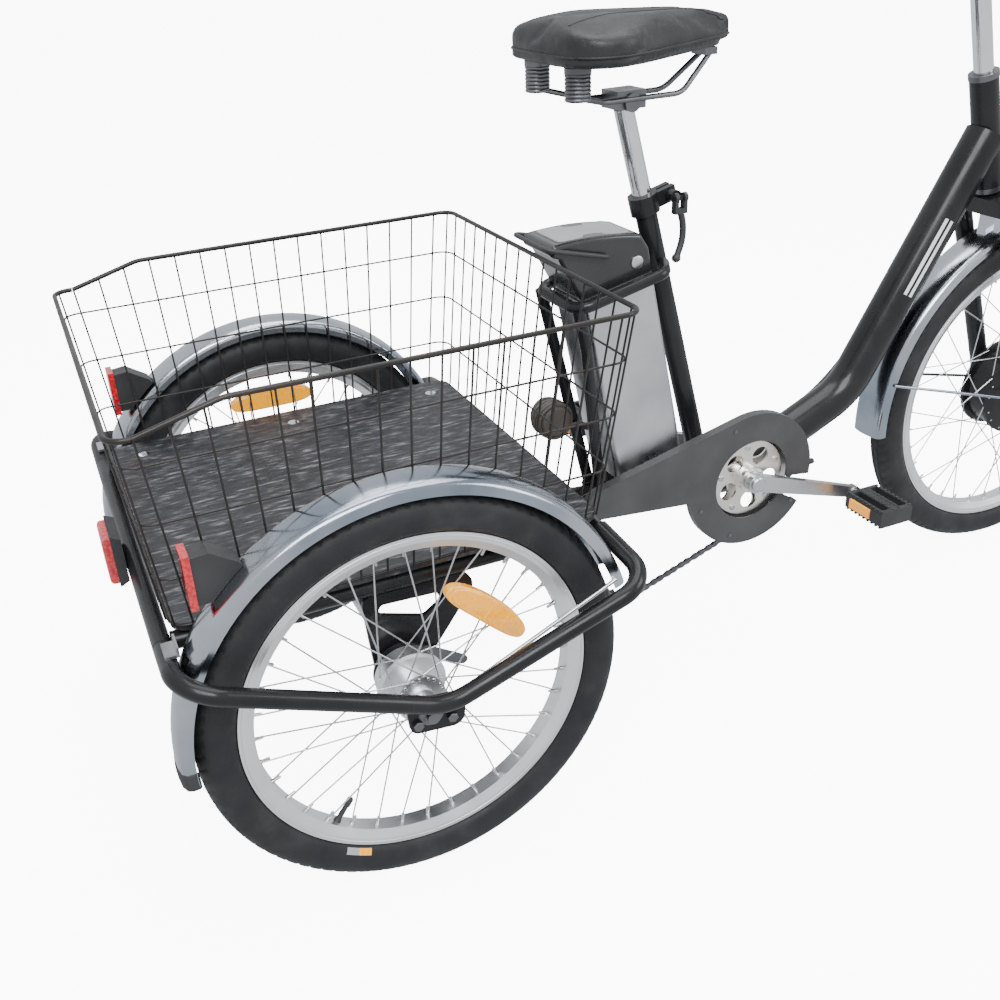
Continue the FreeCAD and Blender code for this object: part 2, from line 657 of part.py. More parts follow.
def battery_rack(beam_solid):
    """A bent tube loop round the battery, two legs down to the beam, and the shoe under the battery."""
    radius = size("rack_radius")
    corner = Vector(337, -57, 577)
    shoulder = Vector(464, -57, 606)
    loop = [Vector(481, -26, 608), shoulder, corner, Vector(corner.x, 57, corner.z),
            Vector(shoulder.x, 57, shoulder.z), Vector(481, 26, 608)]
    loop_tube = tube(loop, radius, [16, 22, 22, 16])
    leg_top = corner + Vector(2, 4, 0)
    leg_route = [leg_top, Vector(352, -52, 520), Vector(396, -14, 270)]
    leg = tube(leg_route, radius, 60)
    leg_solid = mirrored(rod(leg_route, radius, 60))
    leg = largest(leg.cut(rod(loop, radius, [16, 22, 22, 16])).cut(beam_solid))
    straps = [rod([Vector(481, side * 30, 608), on_seat_tube(608) + Vector(0, side * 10, 0)], 5)
              for side in (-1, 1)]
    seat_solid = rod([on_seat_tube(500), on_seat_tube(700)], size("seat_tube_radius"))
    straps = [largest(strap.cut(seat_solid).cut(rod(loop, radius, [16, 22, 22, 16]))) for strap in straps]
    shoe = slab(outline([(412, 270), (412, 306), (512, 327), (512, 262)]), -26, 26)
    low_face = battery_point(0, 0, -0.4)
    over = block(-200, 200, -60, 60, 0, 100)
    over.rotate(Vector(0, 0, 0), Vector(0, 1, 0), -size("battery_lean"))
    shoe = largest(shoe.cut(over.translated(low_face)).cut(beam_solid))
    feature("battery_rack", Part.makeCompound([loop_tube, leg, mirrored(leg), shoe] + straps))

    box = disc(Vector(342, 0, 393), 23, 14, 58)
    box = box.makeFillet(5, [edge for edge in box.Edges if edge.BoundBox.YLength < 1])
    strap = rod([Vector(350, 30, 390), Vector(376, 31, 388)], 4)
    feature("controller_box", largest(box.fuse(strap).cut(leg_solid)))


# ---------------------------------------------------------------- saddle

SADDLE_SEAT = on_seat_tube(806)
LEVER_PIN = 34
EAR_REACH = 34


def seat():
    radius = size("seatpost_radius") - size("running_gap")
    ends = [on_seat_tube(560), SADDLE_SEAT]
    post = rod(ends, radius).cut(rod([ends[0], on_seat_tube(800)], radius - 2.2))
    feature("seatpost", post)

    x, z = SADDLE_SEAT.x, SADDLE_SEAT.z
    clamp = block(x - 20, x + 20, -20, 20, z + 0.3, z + 22)
    clamp = clamp.fuse(disc(Vector(x, 0, z + 8), 11, -24, 24))
    rails = []
    for side in (-1, 1):
        rail = [Vector(x + 118, side * 9, z + 54), Vector(x + 70, side * 22, z + 12),
                Vector(x - 40, side * 22, z + 12), Vector(x - 92, side * 52, z + 26)]
        rails.append(rod(rail, 3.5, [30, 30]))
    springs = []
    for side in (-1, 1):
        base = Vector(x - 92, side * 52, z + 22)
        coils = [Part.makeTorus(13, 2.6, base + Vector(0, 0, 4.4 * turn + 3)) for turn in range(7)]
        core = Part.makeCylinder(11.4, 32, base)
        core = core.cut(Part.makeCylinder(9.6, 32, base))
        cap = Part.makeCylinder(16, 6.5, base + Vector(0, 0, 31.2))
        springs.append(core.multiFuse(coils + [cap]))
    nose = block(x + 106, x + 124, -15, 15, z + 51, z + 59.7)
    frame = clamp.multiFuse(rails + springs + [nose])
    frame = frame.cut(rod([on_seat_tube(700), SADDLE_SEAT + SEAT_UP * 0.2], 12.7))
    feature("saddle_frame", largest(frame))

    body = doc.addObject("PartDesign::Body", "saddle")
    sketch = sketch_on(body, "XY_Plane", "saddle_outline")
    outer = belt([(-68, -62, 54), (132, 0, 19), (-68, 62, 54)])
    for edge in outer.Edges:
        first, last = edge.FirstParameter, edge.LastParameter
        a, m, b = [edge.valueAt(v) for v in (first, (first + last) / 2, last)]
        start, middle, end = [Vector(v.x, v.z, 0) for v in (a, m, b)]
        straight = abs(edge.Length - (end - start).Length) < 1e-6
        sketch.addGeometry(Part.LineSegment(start, end) if straight else Part.Arc(start, middle, end), False)
    pad = body.newObject("PartDesign::Pad", "saddle_pad")
    pad.Profile = sketch
    pad.Length = 50
    doc.recompute()
    top = [f"Edge{n}" for n, edge in enumerate(pad.Shape.Edges, start=1) if edge.BoundBox.ZMin > 49]
    rounding = body.newObject("PartDesign::Fillet", "saddle_rounding")
    rounding.Base = (pad, top)
    rounding.Radius = 16
    body.Placement = Placement(Vector(x, 0, z + 60), Rotation())
    keep(body, "saddle")


def seat_lever(collar, middle):
    """The clamp's bolt with a cross pin at its right end, and the forked cam lever that turns on it."""
    turn = Rotation(Vector(0, 1, 0), -size("seat_tube_lean"))
    centre = middle + turn.multVec(Vector(EAR_REACH, 0, 0))
    bolt = disc(Vector(0, 0, 0), 3, -LEVER_PIN - 3, 20).fuse(disc(Vector(0, 0, 0), 6.5, 11, 18))
    bolt = bolt.fuse(disc(Vector(0, 0, 0), 8, -LEVER_PIN + 8, -11))
    pin_at = Vector(0, -LEVER_PIN, 0)
    pin = rod([pin_at - Vector(10, 0, 0), pin_at + Vector(10, 0, 0)], 2.5)
    feature("seat_clamp", Part.makeCompound([collar, bolt.fuse(pin).translated(centre)]))

    eye = rod([pin_at - Vector(9, 0, 0), pin_at + Vector(9, 0, 0)], 6.5)
    yoke = block(-9, 9, -LEVER_PIN - 5, -LEVER_PIN + 5, -20, 0)
    gap = block(-4, 4, -60, 60, -13, 20)
    end = Vector(-6, -LEVER_PIN - 6, -76)
    blade = rod([Vector(0, -LEVER_PIN, -15), Vector(10, -LEVER_PIN - 2, -42), end], 4.4, 60)
    tip = Part.makeSphere(6, end)
    lever = eye.fuse(yoke).cut(gap).cut(rod([pin_at - Vector(12, 0, 0), pin_at + Vector(12, 0, 0)], 2.55))
    feature("seat_lever", lever.fuse(blade).fuse(tip).translated(centre))


# ---------------------------------------------------------------- drive

CHAINRING_PITCH = 89
CLUSTER_PITCH = 33
PULLEY_PITCH = 22
GUIDE = Vector(348, 0, 196)
TENSION = Vector(388, 0, 120)
CHAIN_HALF = 4


def chain_loop(wheels, side, half_width=3):
    outer = belt([(x, z, r + CHAIN_HALF) for x, z, r in wheels])
    inner = belt([(x, z, r - CHAIN_HALF) for x, z, r in wheels])
    face = Part.Face(outer).cut(Part.Face(inner))
    return face.extrude(Vector(0, 2 * half_width, 0)).translated(Vector(0, side - half_width, 0))


def crank_arm(end, outwards):
    """An arm that flares out from the axle to its pedal end, with the spindle the pedal turns on."""
    way = (end - CRANK).normalize()
    up = Vector(-way.z, 0, way.x)
    sections = []
    for foot, tall, across in ((CRANK + way * 4, 13, 81), (end - way * 4, 8.5, 100)):
        middle = Vector(foot.x, outwards * across, foot.z)
        corners = [middle + up * (tall * a) + Vector(0, 6 * b, 0) for a, b in ((1, 1), (-1, 1), (-1, -1), (1, -1))]
        sections.append(Part.makePolygon(corners + corners[:1]))
    blade = Part.makeLoft(sections, True)
    bosses = []
    for centre, radius, low, high in ((CRANK, 15, 74.5, 87.5), (end, 9.5, 93.5, 108), (end, 6, 100, 186)):
        reach = sorted((outwards * low, outwards * high))
        bosses.append(disc(centre, radius, reach[0], reach[1]))
    return blade.multiFuse(bosses).cut(disc(CRANK, size("axle_radius"), -120, 120))


def drive():
    side = -size("chain_side")
    shaft = size("axle_radius")
    primary = [(CRANK.x, CRANK.z, CHAINRING_PITCH), (JACKSHAFT.x, JACKSHAFT.z, CLUSTER_PITCH),
               (GUIDE.x, GUIDE.z, -PULLEY_PITCH), (TENSION.x, TENSION.z, PULLEY_PITCH)]
    feature("primary_chain", largest(chain_loop(primary, side)))
    secondary = [(JACKSHAFT.x, JACKSHAFT.z, 33.5), (AXLE.x, AXLE.z, 46)]
    feature("secondary_chain", largest(chain_loop(secondary, -side - 2)))

    axle = disc(CRANK, shaft, -89, 89)
    feature("crank_axle", axle)
    plate = toothed_disc(CRANK, CHAINRING_PITCH - 4.4, 44, side - 1.5, side + 1.5, 16)
    cover = disc(CRANK, 59, side - 13.5, side - 10).cut(disc(CRANK, 16, side - 20, side))
    for number in range(5):
        window_at = polar(CRANK, 37, 72 * number + 60)
        window = disc(window_at, 14, side - 20, side + 5)
        cover = cover.cut(window)
        plate = plate.cut(disc(polar(CRANK, 46, 72 * number + 60), 16, side - 5, side + 5))
    boss = ring(CRANK, 20, shaft, side - 24, side + 6)
    feature("chainring", plate.fuse(cover).fuse(boss))

    arms = []
    for way, outwards in ((1, -1), (-1, 1)):
        turn = -size("crank_lean") if way > 0 else 180 - size("crank_lean")
        end = polar(CRANK, size("crank_length"), turn)
        arms.append(crank_arm(end, outwards))
    feature("crank_arms", Part.makeCompound(arms))

    for name, way, outwards in (("right", 1, -1), ("left", -1, 1)):
        turn = -size("crank_lean") if way > 0 else 180 - size("crank_lean")
        end = polar(CRANK, size("crank_length"), turn)
        feature(f"pedal_{name}", pedal(end, outwards))

    cluster = [disc(JACKSHAFT, shaft, -64, 64)]
    for number, tip in enumerate((43, 38, 33, CLUSTER_PITCH - 4.4, 26, 24)):
        low = side + 12 - 4 * number if number < 3 else side - 1 - 4.5 * (number - 3)
        cluster.append(toothed_disc(JACKSHAFT, tip, 14, low, low + 2, shaft))
    cluster.append(ring(JACKSHAFT, 17, shaft, side - 12, side + 14))
    cluster.append(toothed_disc(JACKSHAFT, 29, 16, 46, 50, shaft))
    feature("jackshaft", cluster[0].multiFuse(cluster[1:]))

    cage_out = slab(belt([(TENSION.x, TENSION.z, 9), (GUIDE.x, GUIDE.z, 9)][::-1]), side - 8, side - 6)
    cage_in = slab(belt([(TENSION.x, TENSION.z, 9), (GUIDE.x, GUIDE.z, 9)][::-1]), side + 6, side + 8)
    pins = [disc(centre, 3, side - 9, side + 9) for centre in (GUIDE, TENSION)]
    link = block(GUIDE.x - 8, GUIDE.x + 8, side + 6, -28, GUIDE.z - 4, GUIDE.z + 6)
    post = block(GUIDE.x - 16, GUIDE.x + 2, -34, -28, GUIDE.z - 4, JACKSHAFT.z - 10)
    post = post.cut(disc(JACKSHAFT, 21, -60, 60))
    cage = cage_out.multiFuse([cage_in, link, post] + pins)
    feature("derailleur", largest(cage))
    for name, centre in (("guide_pulley", GUIDE), ("tension_pulley", TENSION)):
        wheel_shape = toothed_disc(centre, PULLEY_PITCH - 4.4, 11, side - 2, side + 2, 3.05)
        feature(name, wheel_shape)


def pedal(end, outwards):
    """A platform with a hollow frame; its tube turns on the crank arm's spindle."""
    low, high = 118, 194
    frame = block(-28, 28, low, high, -13, 13)
    frame = frame.cut(block(-22, -9, low + 7, high - 7, -20, 20)).cut(block(9, 22, low + 7, high - 7, -20, 20))
    frame = frame.cut(disc(Vector(0, 0, 0), 6.05, low - 1, high - 5))
    corners = [edge for edge in frame.Edges if edge.BoundBox.YLength > 60 and abs(edge.BoundBox.XMin) > 25]
    frame = frame.makeFillet(5, corners)
    if outwards < 0:
        frame = mirrored(frame)
    return frame.translated(Vector(end.x, 0, end.z))


def chain_guard():
    """A flat cover with a returned rim: a round front, open where the arm passes, and a long tail."""
    low, high = -72, -69.5
    front = belt([(CRANK.x, CRANK.z, 105), (366, 295, 23)])
    body = slab(front, low, high)
    skin = slab(belt([(CRANK.x, CRANK.z, 102.5), (366, 295, 20.5)]), high - 1, -20)
    rim = slab(front, high, high + 12).cut(skin)
    below = outline([(300, 100), (300, 272), (370, 272), (514, 259), (618, 259), (618, 100)])
    tail = body.fuse(rim).cut(slab(below, -80, -40))
    lower = ring(CRANK, 105, 102.5, high, high + 12).common(slab(below, -80, -40))
    cover = tail.fuse(disc(CRANK, 105, low, high)).fuse(lower)
    cover = cover.cut(disc(CRANK, 62, -80, -40))
    mouth = outline([(CRANK.x, CRANK.z), (CRANK.x + 130, CRANK.z - 18), (CRANK.x + 130, CRANK.z - 84)])
    cover = cover.cut(slab(mouth, -80, -40))
    bracket = block(430, 442, high, -26, 272, 288)
    feature("chain_guard", largest(cover.fuse(bracket)))


# ---------------------------------------------------------------- steering

def fork():
    """Crown, two legs and the steerer, with the axle that the front wheel turns on."""
    crown_at = size("head_tube_low") - 8.4
    steerer = rod([on_steering(crown_at - 6), on_steering(size("head_tube_low") + size("head_tube_length") + 30)],
                  12.7)
    crown_low = on_steering(crown_at - 30)
    crown = block(-22, 22, -72, 72, 0, 26)
    edges = [edge for edge in crown.Edges if edge.BoundBox.ZLength > 20]
    crown = crown.makeFillet(20, edges)
    crown.rotate(Vector(0, 0, 0), Vector(0, 1, 0), size("head_angle") - 90)
    crown = crown.translated(crown_low)
    solids = []
    for side in (-1, 1):
        top = crown_low + STEER_UP * 12 + Vector(0, side * 56, 0)
        foot = Vector(FRONT_AXLE.x - 6, side * 56, FRONT_AXLE.z + 16)
        solids.append(rod([top, foot], 14))
        tip = slab(belt([(FRONT_AXLE.x, FRONT_AXLE.z, 13), (FRONT_AXLE.x - 9, FRONT_AXLE.z + 34, 10)]), -4, 4)
        solids.append(tip.translated(Vector(0, side * 56, 0)))
    solids.append(disc(FRONT_AXLE, 6, -66, 66))
    feature("fork", largest(steerer.fuse(crown).multiFuse(solids)))


BAR_POINTS = [(0, 0, 0), (0, 55, 4), (-8, 140, 46), (-50, 235, 58), (-150, 300, 44), (-250, 322, 36)]


def handlebar():
    stem_low = on_steering(size("head_tube_low") + size("head_tube_length") + 8.4)
    stem_top = on_steering(730)
    centre = stem_top + Vector(42, 0, 16)
    right = [centre + Vector(x, -y, z) for x, y, z in BAR_POINTS[:0:-1]]
    left = [centre + Vector(x, y, z) for x, y, z in BAR_POINTS[1:]]
    route = right + left
    bends = [70, 60, 45, 45, 45, 45, 60, 70]
    bar = rod(route, 11, bends)
    quill = rod([stem_low, stem_top], 13.5)
    steerer = rod([on_steering(300), on_steering(size("head_tube_low") + size("head_tube_length") + 30)], 12.7)
    quill = quill.cut(steerer)
    neck = rod([stem_top + Vector(-6, 0, -2), centre], 14)
    grip_clamp = Part.makeCylinder(18, 44, centre - Vector(0, 22, 0), Vector(0, 1, 0))
    stem = quill.fuse(neck).fuse(grip_clamp).cut(bar)
    last, before = left[-1], left[-2]
    back = (before - last).normalize()
    perches = []
    for side in (-1, 1):
        foot = Vector(last.x, side * abs(last.y), last.z)
        way = Vector(back.x, side * back.y, back.z)
        ring_at = foot + way * 148
        collar = Part.makeCylinder(15.5, 20, ring_at, way).cut(bar)
        across = way.cross(Vector(0, 0, 1)).normalize() * (-side)
        boss = Part.makeCylinder(9, 14, ring_at + way * 10 + across * 26 - Vector(0, 0, 7), Vector(0, 0, 1))
        bridge = rod([ring_at + way * 10 + across * 13, ring_at + way * 10 + across * 24], 6)
        perch = collar.fuse(boss).fuse(bridge).cut(bar)
        pin_at = ring_at + way * 10 + across * 26
        slot = Part.makeCylinder(14, 7, pin_at - Vector(0, 0, 3.5), Vector(0, 0, 1))
        lever_gap = slot.cut(rod([ring_at + way * 10, ring_at + way * 10 + across * 17.5], 40))
        perch = perch.cut(lever_gap)
        pin = Part.makeCylinder(2.5, 14, pin_at - Vector(0, 0, 7), Vector(0, 0, 1))
        perches.append(largest(perch.fuse(pin)))
    levers(pin_at, way)
    feature("handlebar", Part.makeCompound([stem, bar] + perches))
    grips = []
    for side in (-1, 1):
        foot = Vector(last.x, side * abs(last.y), last.z)
        way = Vector(back.x, side * back.y, back.z)
        sleeve = Part.makeCylinder(16, 125, foot - way * 3, way)
        grips.append(sleeve.cut(bar))
    feature("grips", Part.makeCompound(grips))
    return centre


def levers(pin_at, way):
    """A flat lever on its upright pin, running out beside the grip; the right one is its mirror image."""
    out = Vector(-way.x, -way.y, 0).normalize()
    across = Vector(out.y, -out.x, 0)

    web = slab(outline([(-2, 4.5), (2, -3.5), (40, 21), (60, 26), (60, 30), (30, 29)]), -3.1, 3.1)
    blade = block(32, 110, -5.4, 5.4, 25, 31)
    blade = blade.makeFillet(2, [edge for edge in blade.Edges if edge.BoundBox.XLength > 70])
    eye = disc(Vector(0, 0, 0), 8.5, -3.1, 3.1)
    knob = disc(Vector(112, 0, 28), 7.5, -7.5, 7.5)
    knob = knob.makeFillet(2, [edge for edge in knob.Edges if edge.BoundBox.YLength < 1])
    lever = largest(eye.multiFuse([web, blade, knob]).cut(disc(Vector(0, 0, 0), 2.55, -10, 10)))
    lever.Placement = Placement(pin_at, Rotation(out, Vector(0, 0, 1), across, "XYZ"))
    feature("brake_lever_left", lever)
    feature("brake_lever_right", mirrored(lever))


def front_fender():
    strip = fender(FRONT_AXLE, size("front_tyre_radius") + 24, size("fender_half_width") + 3, 52, 184)
    crown_low = on_steering(size("head_tube_low") - 8.4 - 30)
    solids = [strip]
    edge = size("fender_half_width") + 3
    for side in (-1, 1):
        foot = FRONT_AXLE + Vector(-18, side * (edge + 34), 0)
        head = polar(FRONT_AXLE, size("front_tyre_radius") + 14, 166) + Vector(0, side * (edge + 2.6), 0)
        solids.append(rod([foot, head], 2.4))
    tab_top = crown_low + STEER_UP * -0.4
    tab = block(tab_top.x - 8, tab_top.x + 8, -8, 8, tab_top.z - 40, tab_top.z + 20)
    tab = tab.cut(disc(FRONT_AXLE, size("front_tyre_radius") + 24.3, -40, 40))
    above = block(-60, 60, -60, 60, 0, 90)
    above.rotate(Vector(0, 0, 0), Vector(0, 1, 0), size("head_angle") - 90)
    solids.append(largest(tab.cut(above.translated(tab_top))))
    feature("front_fender", Part.makeCompound(solids))


def headlamp():
    """A round lamp ahead of the fork crown, on a small stalk."""
    crown = on_steering(size("head_tube_low") - 26)
    centre = crown + Vector(62, 0, 34)
    shell = Part.makeCone(18, 31, 40, centre - Vector(22, 0, 0), Vector(1, 0, 0))
    front = Part.makeCylinder(31, 10, centre + Vector(18, 0, 0), Vector(1, 0, 0))
    stalk = rod([crown + Vector(24.5, 0, 4), centre + Vector(-4, 0, -16)], 5)
    feature("headlamp", shell.fuse(front).fuse(stalk))


def brake_cable():
    """The rear brake's cable: down the left of the main tube, under the crank and back to the left hub."""
    route = [Vector(1012, 33, 651), Vector(850, 33, 365), Vector(722, 33, 287), Vector(640, 38, 240),
             Vector(540, 38, 236), Vector(420, 38, 252), Vector(300, 38, 297), Vector(210, 44, 330),
             Vector(130, 92, 348), Vector(112, 180, 330), Vector(99, 224, 292), Vector(79, 237.4, 246)]
    bends = []
    for first, corner, second in zip(route, route[1:], route[2:]):
        back, ahead = first - corner, second - corner
        turn = math.pi - back.getAngle(ahead)
        bends.append(0.45 * min(back.Length, ahead.Length) / math.tan(turn / 2))
    feature("brake_cable", rod(route, 2.5, bends))


def brake_plates():
    """The fixed back plates of the drum brakes, each with its cable arm."""
    shaft = size("axle_radius") + size("running_gap")
    plate = disc(AXLE, 36, -246, -243).cut(disc(AXLE, shaft, -260, -230))
    spacer = ring(AXLE, 12, shaft, -243, -238)
    arm = slab(belt([(30, AXLE.z + 14, 8), (78, AXLE.z - 14, 6)][::-1]), -243, -240)
    feature("brake_plates", both_sides(plate.fuse(spacer).fuse(arm)))


# ---------------------------------------------------------------- assembly

def build():
    rear_wheels()
    front_wheel()
    bearing_shells()
    bearings()
    beam_solid = main_tubes()
    seat_clamp()
    axle_plates()
    carrier()
    guard_rails()
    board()
    basket()
    crown = rear_fenders()
    rear_lights(crown)
    battery()
    battery_rack(beam_solid)
    seat()
    drive()
    chain_guard()
    fork()
    handlebar()
    front_fender()
    headlamp()
    brake_cable()
    brake_plates()
    doc.recompute()


def write_parts():
    os.makedirs("parts", exist_ok=True)
    for item in doc.Objects:
        if "Invalid" in item.State or "Error" in item.State:
            raise RuntimeError(f"{item.Label}: {item.State}")
    for item in parts:
        shape = item.Shape
        if shape.isNull() or not shape.isValid() or not shape.Solids:
            raise RuntimeError(f"{item.Label}: no valid solid")
        shape.exportStep(f"parts/{item.Label}.step")
        print(f"{item.Label:20s} {len(shape.Solids):3d} solids {shape.Volume / 1000:9.1f} cm3")
    print(len(parts), "sub-parts")


build()
write_parts()
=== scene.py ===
import math
import random

import bpy
from mathutils import Matrix, Vector
from mathutils.bvhtree import BVHTree


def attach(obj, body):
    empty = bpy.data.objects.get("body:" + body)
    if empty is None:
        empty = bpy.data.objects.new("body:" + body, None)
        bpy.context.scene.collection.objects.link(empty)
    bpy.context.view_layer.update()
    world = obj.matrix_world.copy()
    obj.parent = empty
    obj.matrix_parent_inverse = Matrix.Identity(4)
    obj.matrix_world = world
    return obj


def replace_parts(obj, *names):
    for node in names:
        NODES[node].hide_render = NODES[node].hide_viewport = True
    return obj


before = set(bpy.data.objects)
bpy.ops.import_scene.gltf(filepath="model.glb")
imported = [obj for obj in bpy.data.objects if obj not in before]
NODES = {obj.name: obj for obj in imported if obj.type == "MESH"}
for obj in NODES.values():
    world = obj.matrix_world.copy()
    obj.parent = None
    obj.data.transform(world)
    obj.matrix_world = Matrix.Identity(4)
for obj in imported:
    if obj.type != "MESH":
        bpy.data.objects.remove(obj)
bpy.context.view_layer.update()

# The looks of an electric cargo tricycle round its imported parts. Lengths are millimetres measured from
# the ground under the rear axle (+X forward, +Y left, +Z up) and at() turns them into row-frame metres.

rng = random.Random(11)
ORIGIN_X = 586.0
AXLE = (0, 255)
CRANK = (618, 272)
JACKSHAFT = (330, 262)
FRONT_AXLE = (1188, 276)


def at(x, y, z):
    return Vector(((x - ORIGIN_X) / 1000, y / 1000, z / 1000))


def make_camera():
    """The camera stands behind and to the right of the rear wheel, looking forward and down."""
    yaw, pitch, roll = (math.radians(a) for a in (68.9, -29.1, -3.7))
    look = Vector((math.cos(pitch) * math.cos(yaw), math.cos(pitch) * math.sin(yaw), math.sin(pitch)))
    right = look.cross(Vector((0, 0, 1))).normalized()
    up = right.cross(look)
    across = right * math.cos(roll) + up * math.sin(roll)
    above = up * math.cos(roll) - right * math.sin(roll)
    data = bpy.data.cameras.new("Camera")
    data.sensor_width = 36
    data.lens = 39.2
    data.shift_x = 0.0438
    data.shift_y = 0.0189
    data.clip_start = 0.02
    camera = bpy.data.objects.new("Camera", data)
    bpy.context.scene.collection.objects.link(camera)
    turn = Matrix((across, above, -look)).transposed()
    camera.matrix_world = Matrix.Translation(at(-303.8, -1239.5, 1029.4)) @ turn.to_4x4()
    bpy.context.scene.camera = camera


make_camera()


# ---------------------------------------------------------------- materials

class Shader:
    """A Principled material and a short way to add nodes to it."""

    def __init__(self, name, base, rough, metal=0.0, **sockets):
        self.material = bpy.data.materials.new(name)
        self.material.use_nodes = True
        self.tree = self.material.node_tree
        self.skin = self.tree.nodes["Principled BSDF"]
        self.skin.inputs["Base Color"].default_value = (*base, 1)
        self.skin.inputs["Roughness"].default_value = rough
        self.skin.inputs["Metallic"].default_value = metal
        for socket, value in sockets.items():
            self.skin.inputs[socket.replace("_", " ")].default_value = value
        self.where = self.add("ShaderNodeTexCoord")

    def add(self, kind, **values):
        node = self.tree.nodes.new(kind)
        for key, value in values.items():
            if key in node.inputs:
                node.inputs[key].default_value = value
            else:
                setattr(node, key, value)
        return node

    def link(self, out, into):
        self.tree.links.new(out, into)

    def stretched(self, scale, space="Object"):
        mapping = self.add("ShaderNodeMapping")
        mapping.inputs["Scale"].default_value = scale
        self.link(self.where.outputs[space], mapping.inputs["Vector"])
        return mapping.outputs["Vector"]

    def noise(self, scale, detail=4.0, stretch=(1, 1, 1), space="Object"):
        node = self.add("ShaderNodeTexNoise", Scale=scale, Detail=detail)
        self.link(self.stretched(stretch, space), node.inputs["Vector"])
        return node.outputs["Fac"]

    def range(self, value, low, high, source=(0.3, 0.7)):
        node = self.add("ShaderNodeMapRange")
        for socket, number in zip(("From Min", "From Max", "To Min", "To Max"), (*source, low, high)):
            node.inputs[socket].default_value = number
        self.link(value, node.inputs["Value"])
        return node.outputs["Result"]

    def roughness(self, value, low, high):
        self.link(self.range(value, low, high), self.skin.inputs["Roughness"])

    def colours(self, value, *stops):
        ramp = self.add("ShaderNodeValToRGB")
        ramp.color_ramp.elements[0].position = stops[0][0]
        ramp.color_ramp.elements[0].color = (*stops[0][1], 1)
        ramp.color_ramp.elements[1].position = stops[-1][0]
        ramp.color_ramp.elements[1].color = (*stops[-1][1], 1)
        for place, colour in stops[1:-1]:
            ramp.color_ramp.elements.new(place).color = (*colour, 1)
        self.link(value, ramp.inputs["Fac"])
        self.link(ramp.outputs["Color"], self.skin.inputs["Base Color"])

    def bump(self, value, strength, distance=0.001):
        node = self.add("ShaderNodeBump", Strength=strength, Distance=distance)
        self.link(value, node.inputs["Height"])
        if self.skin.inputs["Normal"].is_linked:
            self.link(self.skin.inputs["Normal"].links[0].from_socket, node.inputs["Normal"])
        self.link(node.outputs["Normal"], self.skin.inputs["Normal"])


def paint(name, base, lighter, rough=0.16):
    """Sprayed enamel: slight orange peel, a dusty bloom and a clear coat."""
    s = Shader(name, base, rough, Coat_Weight=0.12, Coat_Roughness=0.05,
               Specular_IOR_Level=0.25)
    s.colours(s.noise(7, 6), (0.35, base), (0.75, lighter))
    s.roughness(s.noise(38, 8), rough, rough + 0.16)
    s.bump(s.noise(900, 2), 0.05, 0.0004)
    return s.material


def metal(name, base, darker, low, high, stretch=(1, 1, 1), grain=420, depth=0.12):
    """Bare metal with fine polishing lines and fingerprints in its gloss."""
    s = Shader(name, base, low, 1.0)
    s.colours(s.noise(11, 5), (0.3, darker), (0.62, base))
    s.roughness(s.noise(30, 9), low, high)
    s.bump(s.noise(grain, 3, stretch), depth, 0.0003)
    return s.material


def plastic(name, base, lighter, rough, grain=1400, depth=0.25, coat=0.0):
    """Moulded plastic with a fine pebble grain."""
    s = Shader(name, base, rough, Coat_Weight=coat)
    s.colours(s.noise(16, 5), (0.3, base), (0.8, lighter))
    s.roughness(s.noise(60, 6), rough, rough + 0.14)
    s.bump(s.noise(grain, 2), depth, 0.0004)
    return s.material


def tyre_rubber():
    """Rubber with fine concentric mould ribs on the sidewall and road dust on the tread."""
    s = Shader("tyre_rubber", (0.018, 0.019, 0.021), 0.55, Specular_IOR_Level=0.25)
    s.colours(s.noise(24, 8), (0.3, (0.013, 0.014, 0.016)), (0.55, (0.019, 0.02, 0.022)),
              (0.8, (0.034, 0.034, 0.036)))
    s.roughness(s.noise(50, 6), 0.42, 0.62)
    s.bump(s.noise(700, 4), 0.35, 0.0004)
    ribs = s.add("ShaderNodeTexWave", Scale=26.0, Distortion=0.0)
    ribs.bands_direction = "Y"
    s.link(s.where.outputs["UV"], ribs.inputs["Vector"])
    s.bump(ribs.outputs["Fac"], 0.16, 0.0005)
    return s.material


def board_panel():
    """Black film-faced ply: short pale dashes run along the grain, over a crossed anti-slip grain."""
    s = Shader("board_panel", (0.03, 0.03, 0.032), 0.5)
    dashes = s.noise(70, 7, (0.6, 3.2, 1))
    s.colours(dashes, (0.4, (0.008, 0.008, 0.01)), (0.54, (0.022, 0.022, 0.025)), (0.62, (0.06, 0.06, 0.064)),
              (0.74, (0.2, 0.2, 0.21)))
    s.roughness(s.noise(90, 6), 0.34, 0.62)
    s.bump(dashes, 0.4, 0.0006)
    s.bump(s.noise(520, 3), 0.22, 0.0004)
    return s.material


def steel_with_painted_blue_reflection(name):
    """Polished stainless sheet: rolled lines and small dents of gloss, with random bluish grey patches painted
    into its colour as a painted reflection and painted shade.
    """
    s = Shader(name, (0.58, 0.6, 0.64), 0.16, 1.0)
    s.colours(s.noise(5, 4), (0.3, (0.24, 0.28, 0.34)), (0.6, (0.5, 0.53, 0.57)))
    s.roughness(s.noise(26, 8), 0.1, 0.24)
    s.bump(s.noise(9, 3), 0.16, 0.003)
    s.bump(s.noise(600, 3), 0.06, 0.0002)
    return s.material


def lens(name, base, deep, weave=260, glow=0.1):
    """A moulded reflector: prismatic cells under clear gloss, and a faint glow of its own colour (glow), which
    is painted light, since these lenses are not lit lamps.
    """
    s = Shader(name, base, 0.12, Coat_Weight=1.0, Coat_Roughness=0.03, Emission_Strength=glow)
    s.skin.inputs["Emission Color"].default_value = (*base, 1)
    cells = s.add("ShaderNodeTexVoronoi", Scale=weave)
    s.link(s.where.outputs["Object"], cells.inputs["Vector"])
    s.colours(cells.outputs["Distance"], (0.1, base), (0.75, deep))
    s.bump(cells.outputs["Distance"], 0.5, 0.0006)
    return s.material


